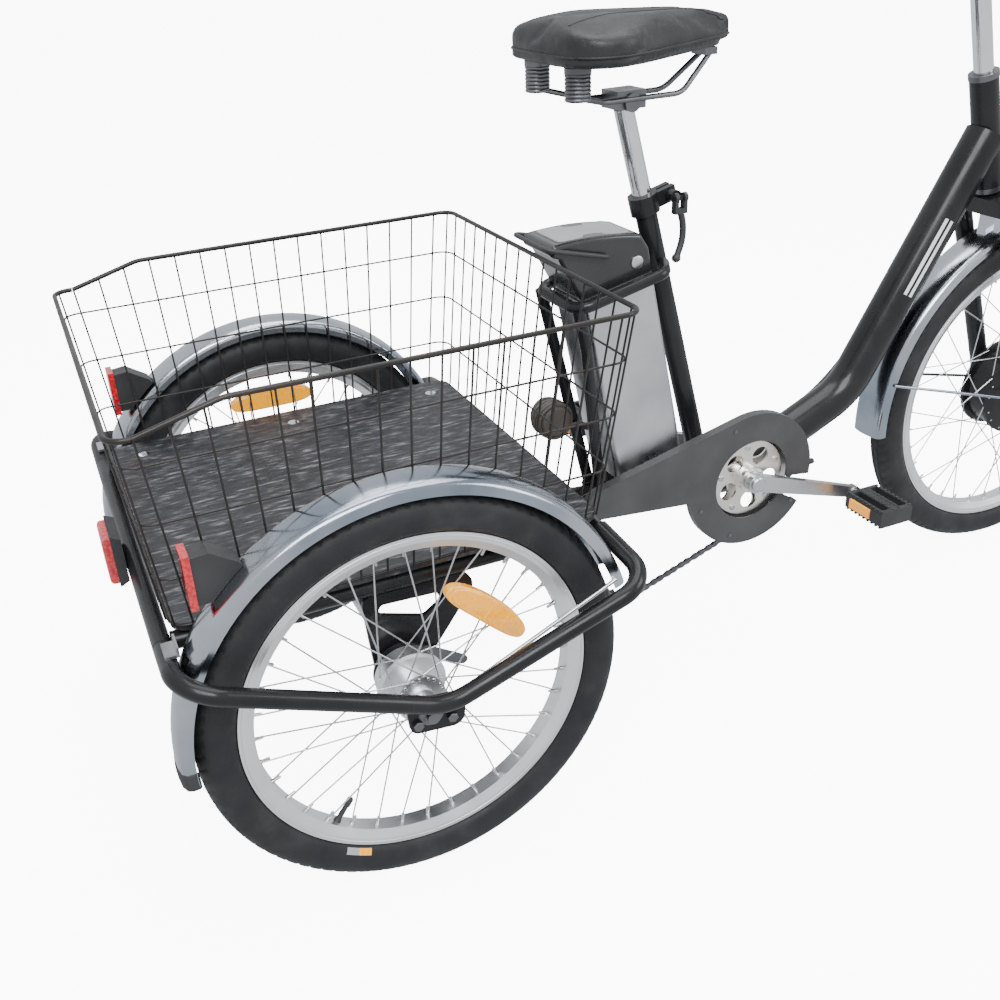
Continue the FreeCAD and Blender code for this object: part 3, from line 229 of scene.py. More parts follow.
def leather():
    """Saddle cover: a fine pebbled vinyl with broad creases."""
    s = Shader("saddle_cover", (0.014, 0.014, 0.015), 0.42, Specular_IOR_Level=0.3)
    s.colours(s.noise(14, 6), (0.3, (0.01, 0.01, 0.011)), (0.7, (0.024, 0.024, 0.026)))
    cells = s.add("ShaderNodeTexVoronoi", Scale=620.0)
    s.link(s.where.outputs["Object"], cells.inputs["Vector"])
    s.roughness(s.noise(40, 6), 0.34, 0.52)
    s.bump(cells.outputs["Distance"], 0.35, 0.0004)
    return s.material


BLACK = paint("black_enamel", (0.009, 0.009, 0.01), (0.02, 0.02, 0.022))
RAIL = paint("rail_enamel", (0.007, 0.007, 0.008), (0.016, 0.016, 0.018), 0.2)
WIRE = paint("wire_enamel", (0.012, 0.011, 0.01), (0.03, 0.027, 0.025), 0.3)
GUARD = plastic("guard_grey", (0.036, 0.036, 0.038), (0.06, 0.06, 0.063), 0.36, 900, 0.15)
CHROME = metal("chrome", (0.86, 0.87, 0.88), (0.7, 0.71, 0.74), 0.05, 0.16)
ALLOY = metal("rim_alloy", (0.86, 0.87, 0.89), (0.76, 0.77, 0.79), 0.3, 0.46, (1, 6, 1), 300, 0.2)
SPOKE = metal("spoke_steel", (0.7, 0.71, 0.73), (0.5, 0.51, 0.53), 0.16, 0.3)
STEEL = metal("dark_steel", (0.2, 0.2, 0.21), (0.1, 0.1, 0.11), 0.28, 0.5)
ZINC = metal("zinc_steel", (0.62, 0.62, 0.64), (0.45, 0.45, 0.47), 0.24, 0.42)
FENDER = steel_with_painted_blue_reflection("fender_steel")
DISC = metal("disc_alloy", (0.88, 0.86, 0.82), (0.74, 0.72, 0.68), 0.2, 0.36)
PANEL = metal("battery_panel", (0.6, 0.61, 0.63), (0.46, 0.47, 0.49), 0.26, 0.42, (1, 1, 14), 240, 0.18)
TYRE = tyre_rubber()
BOARD = board_panel()
DULL = plastic("black_plastic", (0.018, 0.018, 0.019), (0.035, 0.035, 0.037), 0.42)
SHINY = plastic("gloss_black", (0.012, 0.012, 0.013), (0.022, 0.022, 0.023), 0.18, 500, 0.06, 0.4)
GREY = plastic("grey_plastic", (0.3, 0.31, 0.32), (0.4, 0.41, 0.42), 0.34)
BROWN = plastic("worn_housing", (0.045, 0.038, 0.033), (0.11, 0.1, 0.09), 0.46, 160, 0.5)
RUBBER = plastic("grip_rubber", (0.02, 0.02, 0.021), (0.035, 0.035, 0.036), 0.6)
STRIPE = plastic("white_stripe", (0.72, 0.73, 0.74), (0.85, 0.85, 0.86), 0.34, 700, 0.1)
# All three lenses emit a painted glow of their own colour; the amber one, strongest at 0.5, also covers the
# tyre's amber patch and the pedal reflectors.
RED = lens("red_lens", (0.75, 0.012, 0.02), (0.3, 0.002, 0.006))
AMBER = lens("amber_lens", (1.0, 0.45, 0.0), (0.85, 0.28, 0.0), 420, 0.5)
CLEAR = lens("clear_lens", (0.85, 0.86, 0.88), (0.5, 0.52, 0.55), 180)
SEAT = leather()

FINISHES = {
    BLACK: "head_tube down_tube main_beam seat_tube bearing_shells fork seat_clamp",
    RAIL: "guard_rails carrier_frame axle_plates battery_rack front_hub_motor",
    WIRE: "basket_side_walls basket_end_walls",
    GUARD: "chain_guard",
    CHROME: "seatpost handlebar board_bolts",
    ALLOY: "rear_right_rim rear_left_rim front_rim rear_right_hub rear_left_hub",
    SPOKE: "rear_right_spokes rear_left_spokes front_spokes",
    STEEL: "bearing_rings saddle_frame primary_chain secondary_chain crank_axle jackshaft derailleur "
           "brake_plates",
    ZINC: "fender_supports brake_lever_right brake_lever_left crank_arms",
    FENDER: "rear_fenders front_fender",
    DISC: "chainring",
    PANEL: "battery_case",
    TYRE: "rear_right_tyre rear_left_tyre front_tyre",
    BOARD: "cargo_board",
    DULL: "light_housings battery_handle pedal_right pedal_left guide_pulley tension_pulley brake_cable "
          "seat_lever",
    SHINY: "battery_lid headlamp",
    BROWN: "controller_box",
    RUBBER: "grips",
    RED: "red_lenses",
    SEAT: "saddle",
}
for finish, names in FINISHES.items():
    for node in names.split():
        NODES[node].data.materials.clear()
        NODES[node].data.materials.append(finish)


# ---------------------------------------------------------------- meshes

def mesh_object(name, points, faces, finish, body, smooth=True, uvs=None):
    data = bpy.data.meshes.new(name)
    data.from_pydata([tuple(p) for p in points], [], faces)
    data.update()
    if uvs:
        layer = data.uv_layers.new(name="UVMap")
        for loop in data.loops:
            layer.data[loop.index].uv = uvs[loop.vertex_index]
    data.polygons.foreach_set("use_smooth", [smooth] * len(data.polygons))
    data.materials.append(finish)
    piece = bpy.data.objects.new(name, data)
    bpy.context.scene.collection.objects.link(piece)
    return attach(piece, body)


class Heap:
    """Collects many small closed solids that become one piece."""

    def __init__(self):
        self.points = []
        self.faces = []

    def put(self, points, faces):
        start = len(self.points)
        self.points += points
        self.faces += [[start + corner for corner in face] for face in faces]

    def rings(self, rings, closed=False):
        """Loops of points of one length, joined into a skin with capped ends."""
        count = len(rings[0])
        faces = []
        for row in range(len(rings) if closed else len(rings) - 1):
            after = (row + 1) % len(rings)
            for k in range(count):
                step = (k + 1) % count
                faces.append([row * count + k, row * count + step, after * count + step, after * count + k])
        if not closed:
            faces.append(list(range(count))[::-1])
            faces.append([(len(rings) - 1) * count + k for k in range(count)])
        self.put([p for loop in rings for p in loop], faces)

    def rod(self, start, end, radii, sides=10):
        """A round bar; radii are (share along, radius in mm) steps from start to end."""
        axis = (end - start).normalized()
        side = axis.orthogonal().normalized()
        other = axis.cross(side)
        rings = []
        for share, radius in radii:
            middle = start.lerp(end, share)
            rings.append([middle + (side * math.cos(a) + other * math.sin(a)) * radius / 1000
                          for a in (math.tau * k / sides for k in range(sides))])
        self.rings(rings)

    def pipe(self, path, radius, sides=8, closed=False):
        """A tube that follows points; its cross-section keeps one side up."""
        rings = []
        count = len(path)
        for i, point in enumerate(path):
            ahead = path[(i + 1) % count] if closed or i + 1 < count else point
            back = path[i - 1] if closed or i else point
            axis = (ahead - back).normalized()
            guide = Vector((0, 1, 0)) if abs(axis.y) < 0.9 else Vector((0, 0, 1))
            side = axis.cross(guide).normalized()
            other = axis.cross(side)
            rings.append([point + (side * math.cos(a) + other * math.sin(a)) * radius / 1000
                          for a in (math.tau * k / sides for k in range(sides))])
        self.rings(rings, closed)

    def lathe(self, centre, side, profile, segments=64):
        """A closed ring about the Y axis; profile is (Y offset, radius) in mm."""
        rings = []
        for k in range(segments):
            angle = math.tau * k / segments
            rings.append([at(centre[0] + r * math.cos(angle), side + y, centre[1] + r * math.sin(angle))
                          for y, r in profile])
        self.rings(rings, True)

    def plate(self, outline, low, high, bevel=0.6):
        """A flat plate in the XZ plane between two Y values, with softened edges."""
        count = len(outline)
        cx = sum(p[0] for p in outline) / count
        cz = sum(p[1] for p in outline) / count
        rings = []
        for y, inset in ((low, bevel), (low + bevel, 0), (high - bevel, 0), (high, bevel)):
            ring = []
            for x, z in outline:
                reach = max(math.hypot(x - cx, z - cz), 0.001)
                keep = 1 - inset / reach
                ring.append(at(cx + (x - cx) * keep, y, cz + (z - cz) * keep))
            rings.append(ring)
        self.rings(rings)

    def done(self, name, finish, body, slot=None, smooth=False):
        piece = mesh_object(name, self.points, self.faces, finish, body, smooth)
        if not smooth:
            piece.data.polygons.foreach_set("use_smooth", [True] * len(piece.data.polygons))
            piece.data.set_sharp_from_angle(angle=math.radians(38))
        return piece


def around(centre, radius, degrees, y):
    angle = math.radians(degrees)
    return at(centre[0] + radius * math.cos(angle), y, centre[1] + radius * math.sin(angle))


# ---------------------------------------------------------------- wheels

WHEELS = {
    "rear_right": ("right_wheel", AXLE, -290, 255, 209),
    "rear_left": ("left_wheel", AXLE, 290, 255, 209),
    "front": ("front_wheel", FRONT_AXLE, 0, 276, 232),
}


def tread_depth(y, along, pitch):
    """How far the tread is cut at a place: two ring grooves and slanted shoulder sipes."""
    if abs(abs(y) - 4.6) < 0.9:
        return 1.7
    if abs(y) > 6 and (along / pitch + abs(y) * 0.045) % 1 < 0.2:
        return 1.6
    if abs(y) < 3.4 and (along / pitch + y * 0.05) % 1 < 0.14:
        return 0.9
    return 0.0


def tyre_section(radius, rim):
    """A tyre's outer section as (Y, radius): up inside the rim, out round the wall and over the crown."""
    lip, widest = rim + 0.8, (radius + rim) / 2
    half = [(12.2, rim - 5.8), (12.2, rim - 2)]
    for k in range(8):
        a = math.radians(90 * k / 8)
        half.append((12.2 + 11.8 * math.sin(a), widest - (widest - lip) * math.cos(a)))
    for k in range(17):
        a = math.radians(90 * k / 16)
        half.append((24 * math.cos(a), widest + (radius - widest) * math.sin(a) ** 0.86))
    return half + [(-y, r) for y, r in half[-2::-1]]


def tyre(place):
    body, centre, side, radius, rim = WHEELS[place]
    section = tyre_section(radius, rim)
    blocks = round(math.tau * radius / 17)
    steps = blocks * 6
    pitch = math.tau * radius / blocks
    points, uvs = [], []
    for step in range(steps):
        angle = math.tau * step / steps
        for k, (y, r) in enumerate(section):
            if abs(y) < 19.9 and r > (radius + rim) / 2:
                r -= tread_depth(y, radius * angle, pitch)
            points.append(at(centre[0] + r * math.cos(angle), side + y, centre[1] + r * math.sin(angle)))
            uvs.append((step / steps, k / (len(section) - 1)))
    count = len(section)
    faces = []
    for step in range(steps):
        after = (step + 1) % steps
        for k in range(count - 1):
            faces.append([step * count + k, step * count + k + 1, after * count + k + 1, after * count + k])
        faces.append([step * count + count - 1, step * count, after * count, after * count + count - 1])
    piece = mesh_object(f"{place}_tyre_tread", points, faces, TYRE, body, True, uvs)
    piece.data.set_sharp_from_angle(angle=math.radians(35))
    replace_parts(piece, f"{place}_tyre")


def rim_trim(place):
    """Spoke nipples, the valve, and the pressed line round the rim."""
    body, centre, side, _, rim = WHEELS[place]
    inner = rim - 19
    nipples = Heap()
    for number in range(36):
        turn = number * 10
        nipples.rod(around(centre, inner + 0.4, turn, side), around(centre, inner - 11, turn, side),
                    ((0, 2.6), (0.2, 2.5), (0.3, 1.9), (0.9, 1.8), (1, 1.2)))
    nipples.done(f"{place}_nipples", SPOKE, body, "chrome")
    valve = Heap()
    turn = VALVES[place]
    valve.rod(around(centre, inner + 1, turn, side), around(centre, inner - 34, turn, side),
              ((0, 5), (0.1, 4.4), (0.16, 3.4), (0.62, 3.2), (0.64, 2.6), (0.7, 4.2), (0.95, 4.0), (1, 3.0)),
              12)
    valve.done(f"{place}_valve", DULL, body, "black_plastic")
    line = Heap()
    for way in (-1, 1):
        line.lathe(centre, side, [(way * 14.9, rim - 5), (way * 15.5, rim - 4.6), (way * 15.5, rim - 3.6),
                                  (way * 14.9, rim - 3.2)], 160)
    line.done(f"{place}_rim_beads", ALLOY, body, "bright_alloy", True)


def hub_trim(place):
    """Spoke heads on the flanges."""
    body, centre, side = WHEELS[place][:3]
    heads = Heap()
    front = place == "front"
    away = 1 if side > 0 else -1
    flanges = ((-24, 67, 3.4), (24, 67, 3.4)) if front else ((-away * 14, 39, 4.2), (away * 16, 27, 2.2))
    for number in range(36):
        offset, reach, out = flanges[number % 2]
        lean = 62 if (number // 2) % 2 else -62
        face = (1 if offset > 0 else -1)
        root = around(centre, reach, number * 10 + lean, side + offset + face * (out - 0.8))
        tip = around(centre, reach, number * 10 + lean, side + offset + face * (out + 1.0))
        heads.rod(root, tip, ((0, 2.1), (0.7, 2.0), (1, 1.2)), 8)
    heads.done(f"{place}_spoke_heads", SPOKE, body, "chrome")


def oval_reflector(name, body, centre, side, radius, turn, length):
    """An amber oval lying along the wheel's round, with its raised ribs."""
    heap = Heap()
    middle = around(centre, radius, turn, side)
    along = Vector((-math.sin(math.radians(turn)), 0, math.cos(math.radians(turn))))
    out = Vector((math.cos(math.radians(turn)), 0, math.sin(math.radians(turn))))
    across = Vector((0, 1, 0))
    for grow, low, high in ((1.0, -5.5, 5.5), (0.9, -6.6, 6.6)):
        rings = []
        for y, inset in ((low, 1.0), (low + 0.8, 0.0), (high - 0.8, 0.0), (high, 1.0)):
            ring = []
            for k in range(40):
                a = math.tau * k / 40
                px = math.copysign(abs(math.cos(a)) ** 0.75, math.cos(a)) * (length / 2 * grow - inset)
                py = math.copysign(abs(math.sin(a)) ** 0.8, math.sin(a)) * (15 * grow - inset)
                bend = -px * px / (2 * radius) * 0.25
                ring.append(middle + (along * px + out * (py + bend) + across * y) / 1000)
            rings.append(ring)
        heap.rings(rings)
    for shift in (-26, 0, 26):
        start = middle + (along * shift + out * 10 + across * 6.4 * (1 if side > 0 else -1)) / 1000
        end = start - out * 20 / 1000
        heap.rod(start, end, ((0, 1.2), (1, 1.2)), 6)
    heap.done(name, AMBER, body)


VALVES = {"rear_right": -126.2, "rear_left": 40, "front": 60}
for wheel_name in WHEELS:
    tyre(wheel_name)
    rim_trim(wheel_name)
    hub_trim(wheel_name)
oval_reflector("right_wheel_reflector", "right_wheel", AXLE, -301, 127, 46, 124)
oval_reflector("left_wheel_reflector", "left_wheel", AXLE, 292, 150, 90, 124)
oval_reflector("front_wheel_reflector", "front_wheel", FRONT_AXLE, -12, 160, -20, 112)


def tyre_label():
    """A plain two-tone patch on the right tyre's wall, where a size label would be."""
    for name, first, last, finish in (("tyre_patch_grey", -120.6, -116.4, GREY),
                                      ("tyre_patch_amber", -116.4, -112, AMBER)):
        heap = Heap()
        rows = []
        for k in range(9):
            turn = first + (last - first) * k / 8
            rows.append([around(AXLE, radius, turn, y - 290 - lift)
                         for lift, half in ((0.1, 1), (0.4, -1))
                         for radius, y in ((212, -17.3), (215.5, -20.1), (219, -21.8))[::half]])
        heap.rings(rows)
        heap.done(name, finish, "right_wheel")


tyre_label()


def axle_nuts():
    nuts = Heap()
    for side in (-1, 1):
        for low, high, radius, sides in ((337, 343, 11, 6), (343, 347, 7.6, 20)):
            nuts.rod(at(0, side * low, 255), at(0, side * high, 255),
                     ((0, radius), (0.9, radius), (1, radius - 1)), sides)
        for x, z in ((-17, 246), (24, 244), (-10, 262)):
            nuts.rod(at(x, side * 337.4, z), at(x, side * 343, z), ((0, 6.4), (0.85, 6.4), (1, 5.4)), 6)
    nuts.done("axle_nuts", STEEL, "frame", "dark_steel")


axle_nuts()


# ---------------------------------------------------------------- frame trim

def weld(heap, centre, axis, radius, bead=2.2):
    """A rippled weld bead round a tube."""
    axis = axis.normalized()
    side = axis.orthogonal().normalized()
    other = axis.cross(side)
    path = []
    for k in range(72):
        a = math.tau * k / 72
        ripple = radius + 0.35 * math.sin(k * 2.1) + rng.uniform(-0.15, 0.15)
        path.append(centre + (side * math.cos(a) + other * math.sin(a)) * ripple / 1000)
    heap.pipe(path, bead, 8, True)


def frame_trim():
    beads = Heap()
    lean = Vector((-math.sin(math.radians(15.1)), 0, math.cos(math.radians(15.1))))
    weld(beads, at(569, 0, 297), lean, 14.6, 2.4)
    for side in (-1, 1):
        weld(beads, at(392, side * 16, 288), Vector((-0.3, side * 0.2, 1)), 8.2, 1.8)
    beads.done("weld_beads", BLACK, "frame", "frame_paint", True)

    clips = Heap()
    for x, y, z in ((760, -31, 251), (690, -30, 206)):
        clips.rod(at(x - 4, y, z), at(x + 4, y, z), ((0, 4.2), (0.2, 4.8), (0.8, 4.8), (1, 4.2)), 12)
    clips.done("cable_clips", DULL, "frame", "black_plastic")


def stripe_bars():
    """Plain pale bars down the right of the main tube, in place of any lettering."""
    bars = Heap()
    along = (Vector((1042, 0, 703)) - Vector((835, 0, 342))).normalized()
    up = Vector((-along.z, 0, along.x))
    start = Vector((835, 0, 342)) + along * 165
    for low, high, tilt in ((0, 120, 66), (0, 120, 84)):
        rows = []
        for k in range(25):
            middle = start + along * (low + (high - low) * k / 24)
            ring = []
            for angle, reach in ((tilt - 5, 29.02), (tilt - 5, 29.35), (tilt + 5, 29.35), (tilt + 5, 29.02)):
                a = math.radians(angle)
                place = middle + up * math.cos(a) * reach
                ring.append(at(place.x, -math.sin(a) * reach, place.z))
            rows.append(ring)
        bars.rings(rows)
    bars.done("frame_stripes", STRIPE, "frame")


frame_trim()
stripe_bars()


# ---------------------------------------------------------------- chains

def belt(wheels):
    """Points at even steps along a closed line round signed circles (x, z, radius)."""
    touches = []
    for index, (x0, z0, r0) in enumerate(wheels):
        x1, z1, r1 = wheels[(index + 1) % len(wheels)]
        span = math.hypot(x1 - x0, z1 - z0)
        dx, dz = (x1 - x0) / span, (z1 - z0) / span
        lean = math.asin((r0 - r1) / span)
        mx = dz * math.cos(lean) + dx * math.sin(lean)
        mz = -dx * math.cos(lean) + dz * math.sin(lean)
        touches.append(((x0 + r0 * mx, z0 + r0 * mz), (x1 + r1 * mx, z1 + r1 * mz)))
    line = []
    for index, (x0, z0, r0) in enumerate(wheels):
        came, (leaves, reached) = touches[index - 1][1], touches[index]
        first = math.atan2(came[1] - z0, came[0] - x0)
        last = math.atan2(leaves[1] - z0, leaves[0] - x0)
        turn = (last - first) % math.tau if r0 > 0 else -((first - last) % math.tau)
        for k in range(41):
            a = first + turn * k / 40
            line.append((x0 + abs(r0) * math.cos(a), z0 + abs(r0) * math.sin(a)))
        line.append(reached)
    lengths = [math.dist(line[k], line[(k + 1) % len(line)]) for k in range(len(line))]
    count = 2 * round(sum(lengths) / 12.7 / 2)
    step = sum(lengths) / count
    places, travelled, k = [], 0.0, 0
    for number in range(count):
        goal = number * step
        while travelled + lengths[k] < goal:
            travelled += lengths[k]
            k += 1
        share = (goal - travelled) / max(lengths[k], 1e-9)
        a, b = line[k], line[(k + 1) % len(line)]
        places.append((a[0] + (b[0] - a[0]) * share, a[1] + (b[1] - a[1]) * share))
    return places


def chain(name, node, wheels, side):
    """Roller chain: rollers between narrow and wide pairs of waisted plates."""
    heap = Heap()
    places = belt(wheels)
    for number, (x, z) in enumerate(places):
        nx, nz = places[(number + 1) % len(places)]
        wide = number % 2
        ux, uz = (nx - x) / math.hypot(nx - x, nz - z), (nz - z) / math.hypot(nx - x, nz - z)
        outline = []
        for along, up in ((-3.6, 0), (-2.4, 3.4), (2, 3.8), (6.35, 2.6), (10.7, 3.8), (15.1, 3.4), (16.3, 0),
                          (15.1, -3.4), (10.7, -3.8), (6.35, -2.6), (2, -3.8), (-2.4, -3.4)):
            outline.append((x + ux * along - uz * up, z + uz * along + ux * up))
        for way in (-1, 1):
            low = side + way * (2.7 if wide else 1.7)
            heap.plate(outline, low - 0.45, low + 0.45, 0.1)
        heap.rod(at(x, side - 3.4, z), at(x, side + 3.4, z), ((0, 1.6), (1, 1.6)), 8)
        heap.rod(at(x, side - 1.3, z), at(x, side + 1.3, z), ((0, 3.6), (1, 3.6)), 10)
    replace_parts(heap.done(name, STEEL, "frame", "dark_steel"), node)


chain("primary_chain_links", "primary_chain",
      [(*CRANK, 89), (*JACKSHAFT, 33), (348, 196, -22), (388, 120, 22)], -50)
chain("secondary_chain_links", "secondary_chain", [(*JACKSHAFT, 33.5), (*AXLE, 46)], 48)


# ---------------------------------------------------------------- cranks and pedals

def drive_trim():
    bolts = Heap()
    for number in range(5):
        middle = around(CRANK, 50, 72 * number + 24, 0)
        bolts.rod(middle + Vector((0, -0.0632, 0)), middle + Vector((0, -0.0655, 0)),
                  ((0, 4.4), (0.7, 4.4), (1, 3.4)), 14)
    bolts.rod(at(CRANK[0], -88, CRANK[1]), at(CRANK[0], -91.5, CRANK[1]), ((0, 11), (0.6, 11), (1, 9.5)), 24)
    bolts.done("chainring_bolts", ZINC, "crank", "bright_alloy")
    screws = Heap()
    for turn in (112, 200, 250, 325):
        middle = around(CRANK, 92, turn, 0)
        screws.rod(middle + Vector((0, -0.0719, 0)), middle + Vector((0, -0.0733, 0)),
                   ((0, 3.4), (0.6, 3.3), (1, 2.0)), 14)
    screws.done("guard_screws", STEEL, "frame", "dark_steel")
    for name, sign, way in (("right", -1, 1), ("left", 1, -1)):
        lean = math.radians(16)
        end = (CRANK[0] + way * 175 * math.cos(lean), CRANK[1] - way * 175 * math.sin(lean))
        lenses, treads = Heap(), Heap()
        for across in (-1, 1):
            x = end[0] + across * 28
            face = [(x - across * 0.4, end[1] - 8), (x + across * 2.2, end[1] - 7),
                    (x + across * 2.2, end[1] + 7), (x - across * 0.4, end[1] + 8)]
            lenses.plate(face, min(sign * 128, sign * 170), max(sign * 128, sign * 170), 0.8)
        for up in (-1, 1):
            for across in (-25, -6, 6, 25):
                for k in range(9):
                    y = sign * (122 + k * 8.5)
                    treads.rod(at(end[0] + across, y, end[1] + up * 12.6),
                               at(end[0] + across, y, end[1] + up * 14.6), ((0, 2.8), (0.7, 2.4), (1, 1.4)), 8)
        lenses.done(f"{name}_pedal_reflectors", AMBER, f"{name}_pedal")
        treads.done(f"{name}_pedal_studs", DULL, f"{name}_pedal", "black_plastic")


drive_trim()


# ---------------------------------------------------------------- fender, battery and controller details

def box_of(node):
    """The low and high corners of a CAD node, in millimetres from the ground under the rear axle."""
    places = [NODES[node].matrix_world @ v.co for v in NODES[node].data.vertices]
    low = [min(p[k] for p in places) * 1000 for k in range(3)]
    high = [max(p[k] for p in places) * 1000 for k in range(3)]
    return (low[0] + ORIGIN_X, *low[1:]), (high[0] + ORIGIN_X, *high[1:])


def fender_tips():
    """A soft black edge over the rear end of each rear fender."""
    low, high = box_of("rear_fenders")
    half, crown = -low[1] - 290, high[2] - 255
    drops = ((1, -17.6), (1, -11), (0.91, -5.5), (0.56, -1.4), (0, 0), (-0.56, -1.4), (-0.91, -5.5),
             (-1, -11), (-1, -17.6))
    for name, side in (("right", -290), ("left", 290)):
        heap = Heap()
        rows = []
        for turn, grow in ((179.8, 0.3), (180.3, 1.3), (182.0, 1.5), (184.4, 1.3), (184.7, 0.2)):
            outer = [around(AXLE, crown + drop + grow, turn, side + share * (half + grow * 0.6))
                     for share, drop in drops]
            inner = [around(AXLE, crown + drop - 1.5 - grow * 0.6, turn,
                            side + share * (half - 1.5 - grow * 0.4))
                     for share, drop in reversed(drops)]
            rows.append(outer + inner)
        heap.rings(rows)
        heap.done(f"{name}_fender_tip", RUBBER, "frame", None, True)


def rounded_loop(x0, x1, half, corner, up, below):
    """Points round a rectangle with round corners, laid on the surface below and lifted by up."""
    loop = []
    for cx, cy, first in ((x1 - corner, half - corner, 0), (x0 + corner, half - corner, 90),
                          (x0 + corner, corner - half, 180), (x1 - corner, corner - half, 270)):
        for k in range(7):
            a = math.radians(first + 15 * k)
            over = at(cx + corner * math.cos(a), cy + corner * math.sin(a), 900)
            loop.append(below.ray_cast(over, Vector((0, 0, -1)))[0] + Vector((0, 0, up / 1000)))
    return loop


def battery_trim():
    """The lid's grey cap, which follows the lid's crown, and the lock in its side."""
    node = NODES["battery_lid"]
    lid = BVHTree.FromPolygons([node.matrix_world @ v.co for v in node.data.vertices],
                               [p.vertices for p in node.data.polygons])
    cap = Heap()
    rings = []
    for inset, up in ((0, -1.2), (0, 0.9), (0.7, 1.5), (1.8, 1.8), (10, 1.8), (18, 1.8), (26, 1.8),
                      (33, 1.8)):
        rings.append(rounded_loop(322 + inset, 426 - inset, 34 - inset, max(9 - inset, 0.6), up, lid))
    cap.rings(rings)
    cap.done("battery_cap", GREY, "battery", "battery_silver")
    lock = Heap()
    lock.rod(at(430, -42.4, 622), at(430, -45.6, 622), ((0, 8.5), (0.8, 8.5), (1, 7.4)), 28)
    lock.done("battery_lock", ZINC, "battery", "chrome")


def controller_trim():
    """Spare cable wound round the controller, and the leads that run to the battery's foot."""
    coils = Heap()
    for number, y in enumerate((20, 26.5, 33, 39.5, 46)):
        path = []
        for k in range(48):
            a = math.tau * k / 48
            reach = 25.2 + 0.7 * math.sin(3 * a + number * 2)
            path.append(at(342 + reach * math.cos(a), y + 1.2 * math.sin(2 * a + number),
                           393 + reach * math.sin(a)))
        coils.pipe(path, 2.6, 8, True)
    for y, lift in ((22, 0), (30, 5), (38, 9)):
        path = [at(360 + 5 * k, y - 1.2 * k, 378 - lift + 6 * math.sin(k * 0.5)) for k in range(13)]
        coils.pipe(path, 2.2)
    coils.done("controller_cables", BROWN, "frame", "black_plastic", True)


fender_tips()
battery_trim()
controller_trim()


# ---------------------------------------------------------------- saddle and front end

def applied(piece):
    """Replaces the piece's mesh by what its modifiers make of it."""
    made = piece.evaluated_get(bpy.context.evaluated_depsgraph_get())
    piece.data = bpy.data.meshes.new_from_object(made)
    piece.modifiers.clear()


def stuff(piece, cap):
    """Swells the skin as a stuffed cover, each point kept within cap metres of where it began."""
    start = [v.co.copy() for v in piece.data.vertices]
    held = piece.vertex_groups.new(name="held")
    floor_z = min(p.z for p in start)
    held.add([k for k, p in enumerate(start) if p.z < floor_z + 0.007], 1.0, "REPLACE")
    cloth = piece.modifiers.new("stuffing", "CLOTH")
    cloth.settings.use_pressure = True
    cloth.settings.uniform_pressure_force = 4
    cloth.settings.vertex_group_mass = "held"
    cloth.settings.effector_weights.gravity = 0
    for number in range(1, 21):
        bpy.context.scene.frame_set(number)
    made = piece.evaluated_get(bpy.context.evaluated_depsgraph_get())
    ends = [v.co.copy() for v in made.data.vertices]
    for vertex, first, last in zip(piece.data.vertices, start, ends):
        step = last - first
        vertex.co = first + step * min(1, cap / max(step.length, 1e-9))
    piece.modifiers.clear()
    piece.vertex_groups.clear()
    bpy.context.scene.frame_set(1)


def saddle():
    """The padded cover over its moulded base, with piping at the hem and two sewn lines on top."""
    low, high = box_of("saddle")
    long = high[0] - low[0]
    node = NODES["saddle"]
    cover = bpy.data.objects.new("saddle_cover", node.data.copy())
    cover.data.transform(node.matrix_world)
    bpy.context.scene.collection.objects.link(cover)
    remesh = cover.modifiers.new("even_skin", "REMESH")
    remesh.mode = "VOXEL"
    remesh.voxel_size = 0.005
    applied(cover)
    for vertex in cover.data.vertices:
        x, y, z = vertex.co.x * 1000 + ORIGIN_X, vertex.co.y * 1000, vertex.co.z * 1000
        along = min(max((x - low[0]) / long, 0), 1)
        up = (z - low[2]) / (high[2] - low[2])
        foot = 1.5 + 6 * along ** 2
        top = 46 - 12 * max(along - 0.3, 0) - 13 * (abs(y) / 116) ** 2.2 * (1 - along)
        top -= 4.5 * math.exp(-(y / 11) ** 2) * math.sin(math.pi * along) ** 0.5
        middle = (low[0] + high[0]) / 2
        vertex.co = at(middle + (x - middle) * 0.965, y * 0.95, low[2] + foot + up * (top - foot))
    stuff(cover, 0.006)
    smooth = cover.modifiers.new("finer", "SUBSURF")
    smooth.levels = 1
    applied(cover)
    cover.data.polygons.foreach_set("use_smooth", [True] * len(cover.data.polygons))
    cover.data.materials.clear()
    cover.data.materials.append(SEAT)
    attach(cover, "seat")
    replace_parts(cover, "saddle")

    skin = BVHTree.FromPolygons([v.co for v in cover.data.vertices],
                                [p.vertices for p in cover.data.polygons])
    core_x = low[0] + long * 0.36

    def hem(height, grow):
        loop = []
        for k in range(120):
            a = math.tau * k / 120
            way = Vector((math.cos(a), math.sin(a), 0))
            start = at(core_x, 0, low[2] + height)
            loop.append(start + way * ((skin.ray_cast(start, way)[3] or 0.05) + grow))
        return loop

    sewing = Heap()
    sewing.pipe(hem(13, 0.0004), 1.7, 8, True)
    for side in (-1, 1):
        path = []
        for k in range(46):
            along = 0.07 + 0.85 * k / 45
            over = at(low[0] + long * along, side * (15 + 40 * (1 - along) ** 1.6), high[2] + 60)
            place = skin.ray_cast(over, Vector((0, 0, -1)))[0]
            if place:
                path.append(place)
        sewing.pipe(path, 0.9)
    sewing.done("saddle_piping", SEAT, "seat", "saddle_vinyl", True)
    loops = []
    for height, shrink in ((0.1, 0.88), (0.9, 0.92), (8, 0.94)):
        loop = []
        for place in hem(16, 0):
            middle = at(core_x, 0, low[2] + height)
            loop.append(Vector((middle.x + (place.x - middle.x) * shrink, place.y * shrink, middle.z)))
        loops.append(loop)
    base = Heap()
    base.rings(loops)
    base.done("saddle_base", DULL, "seat", "black_plastic")


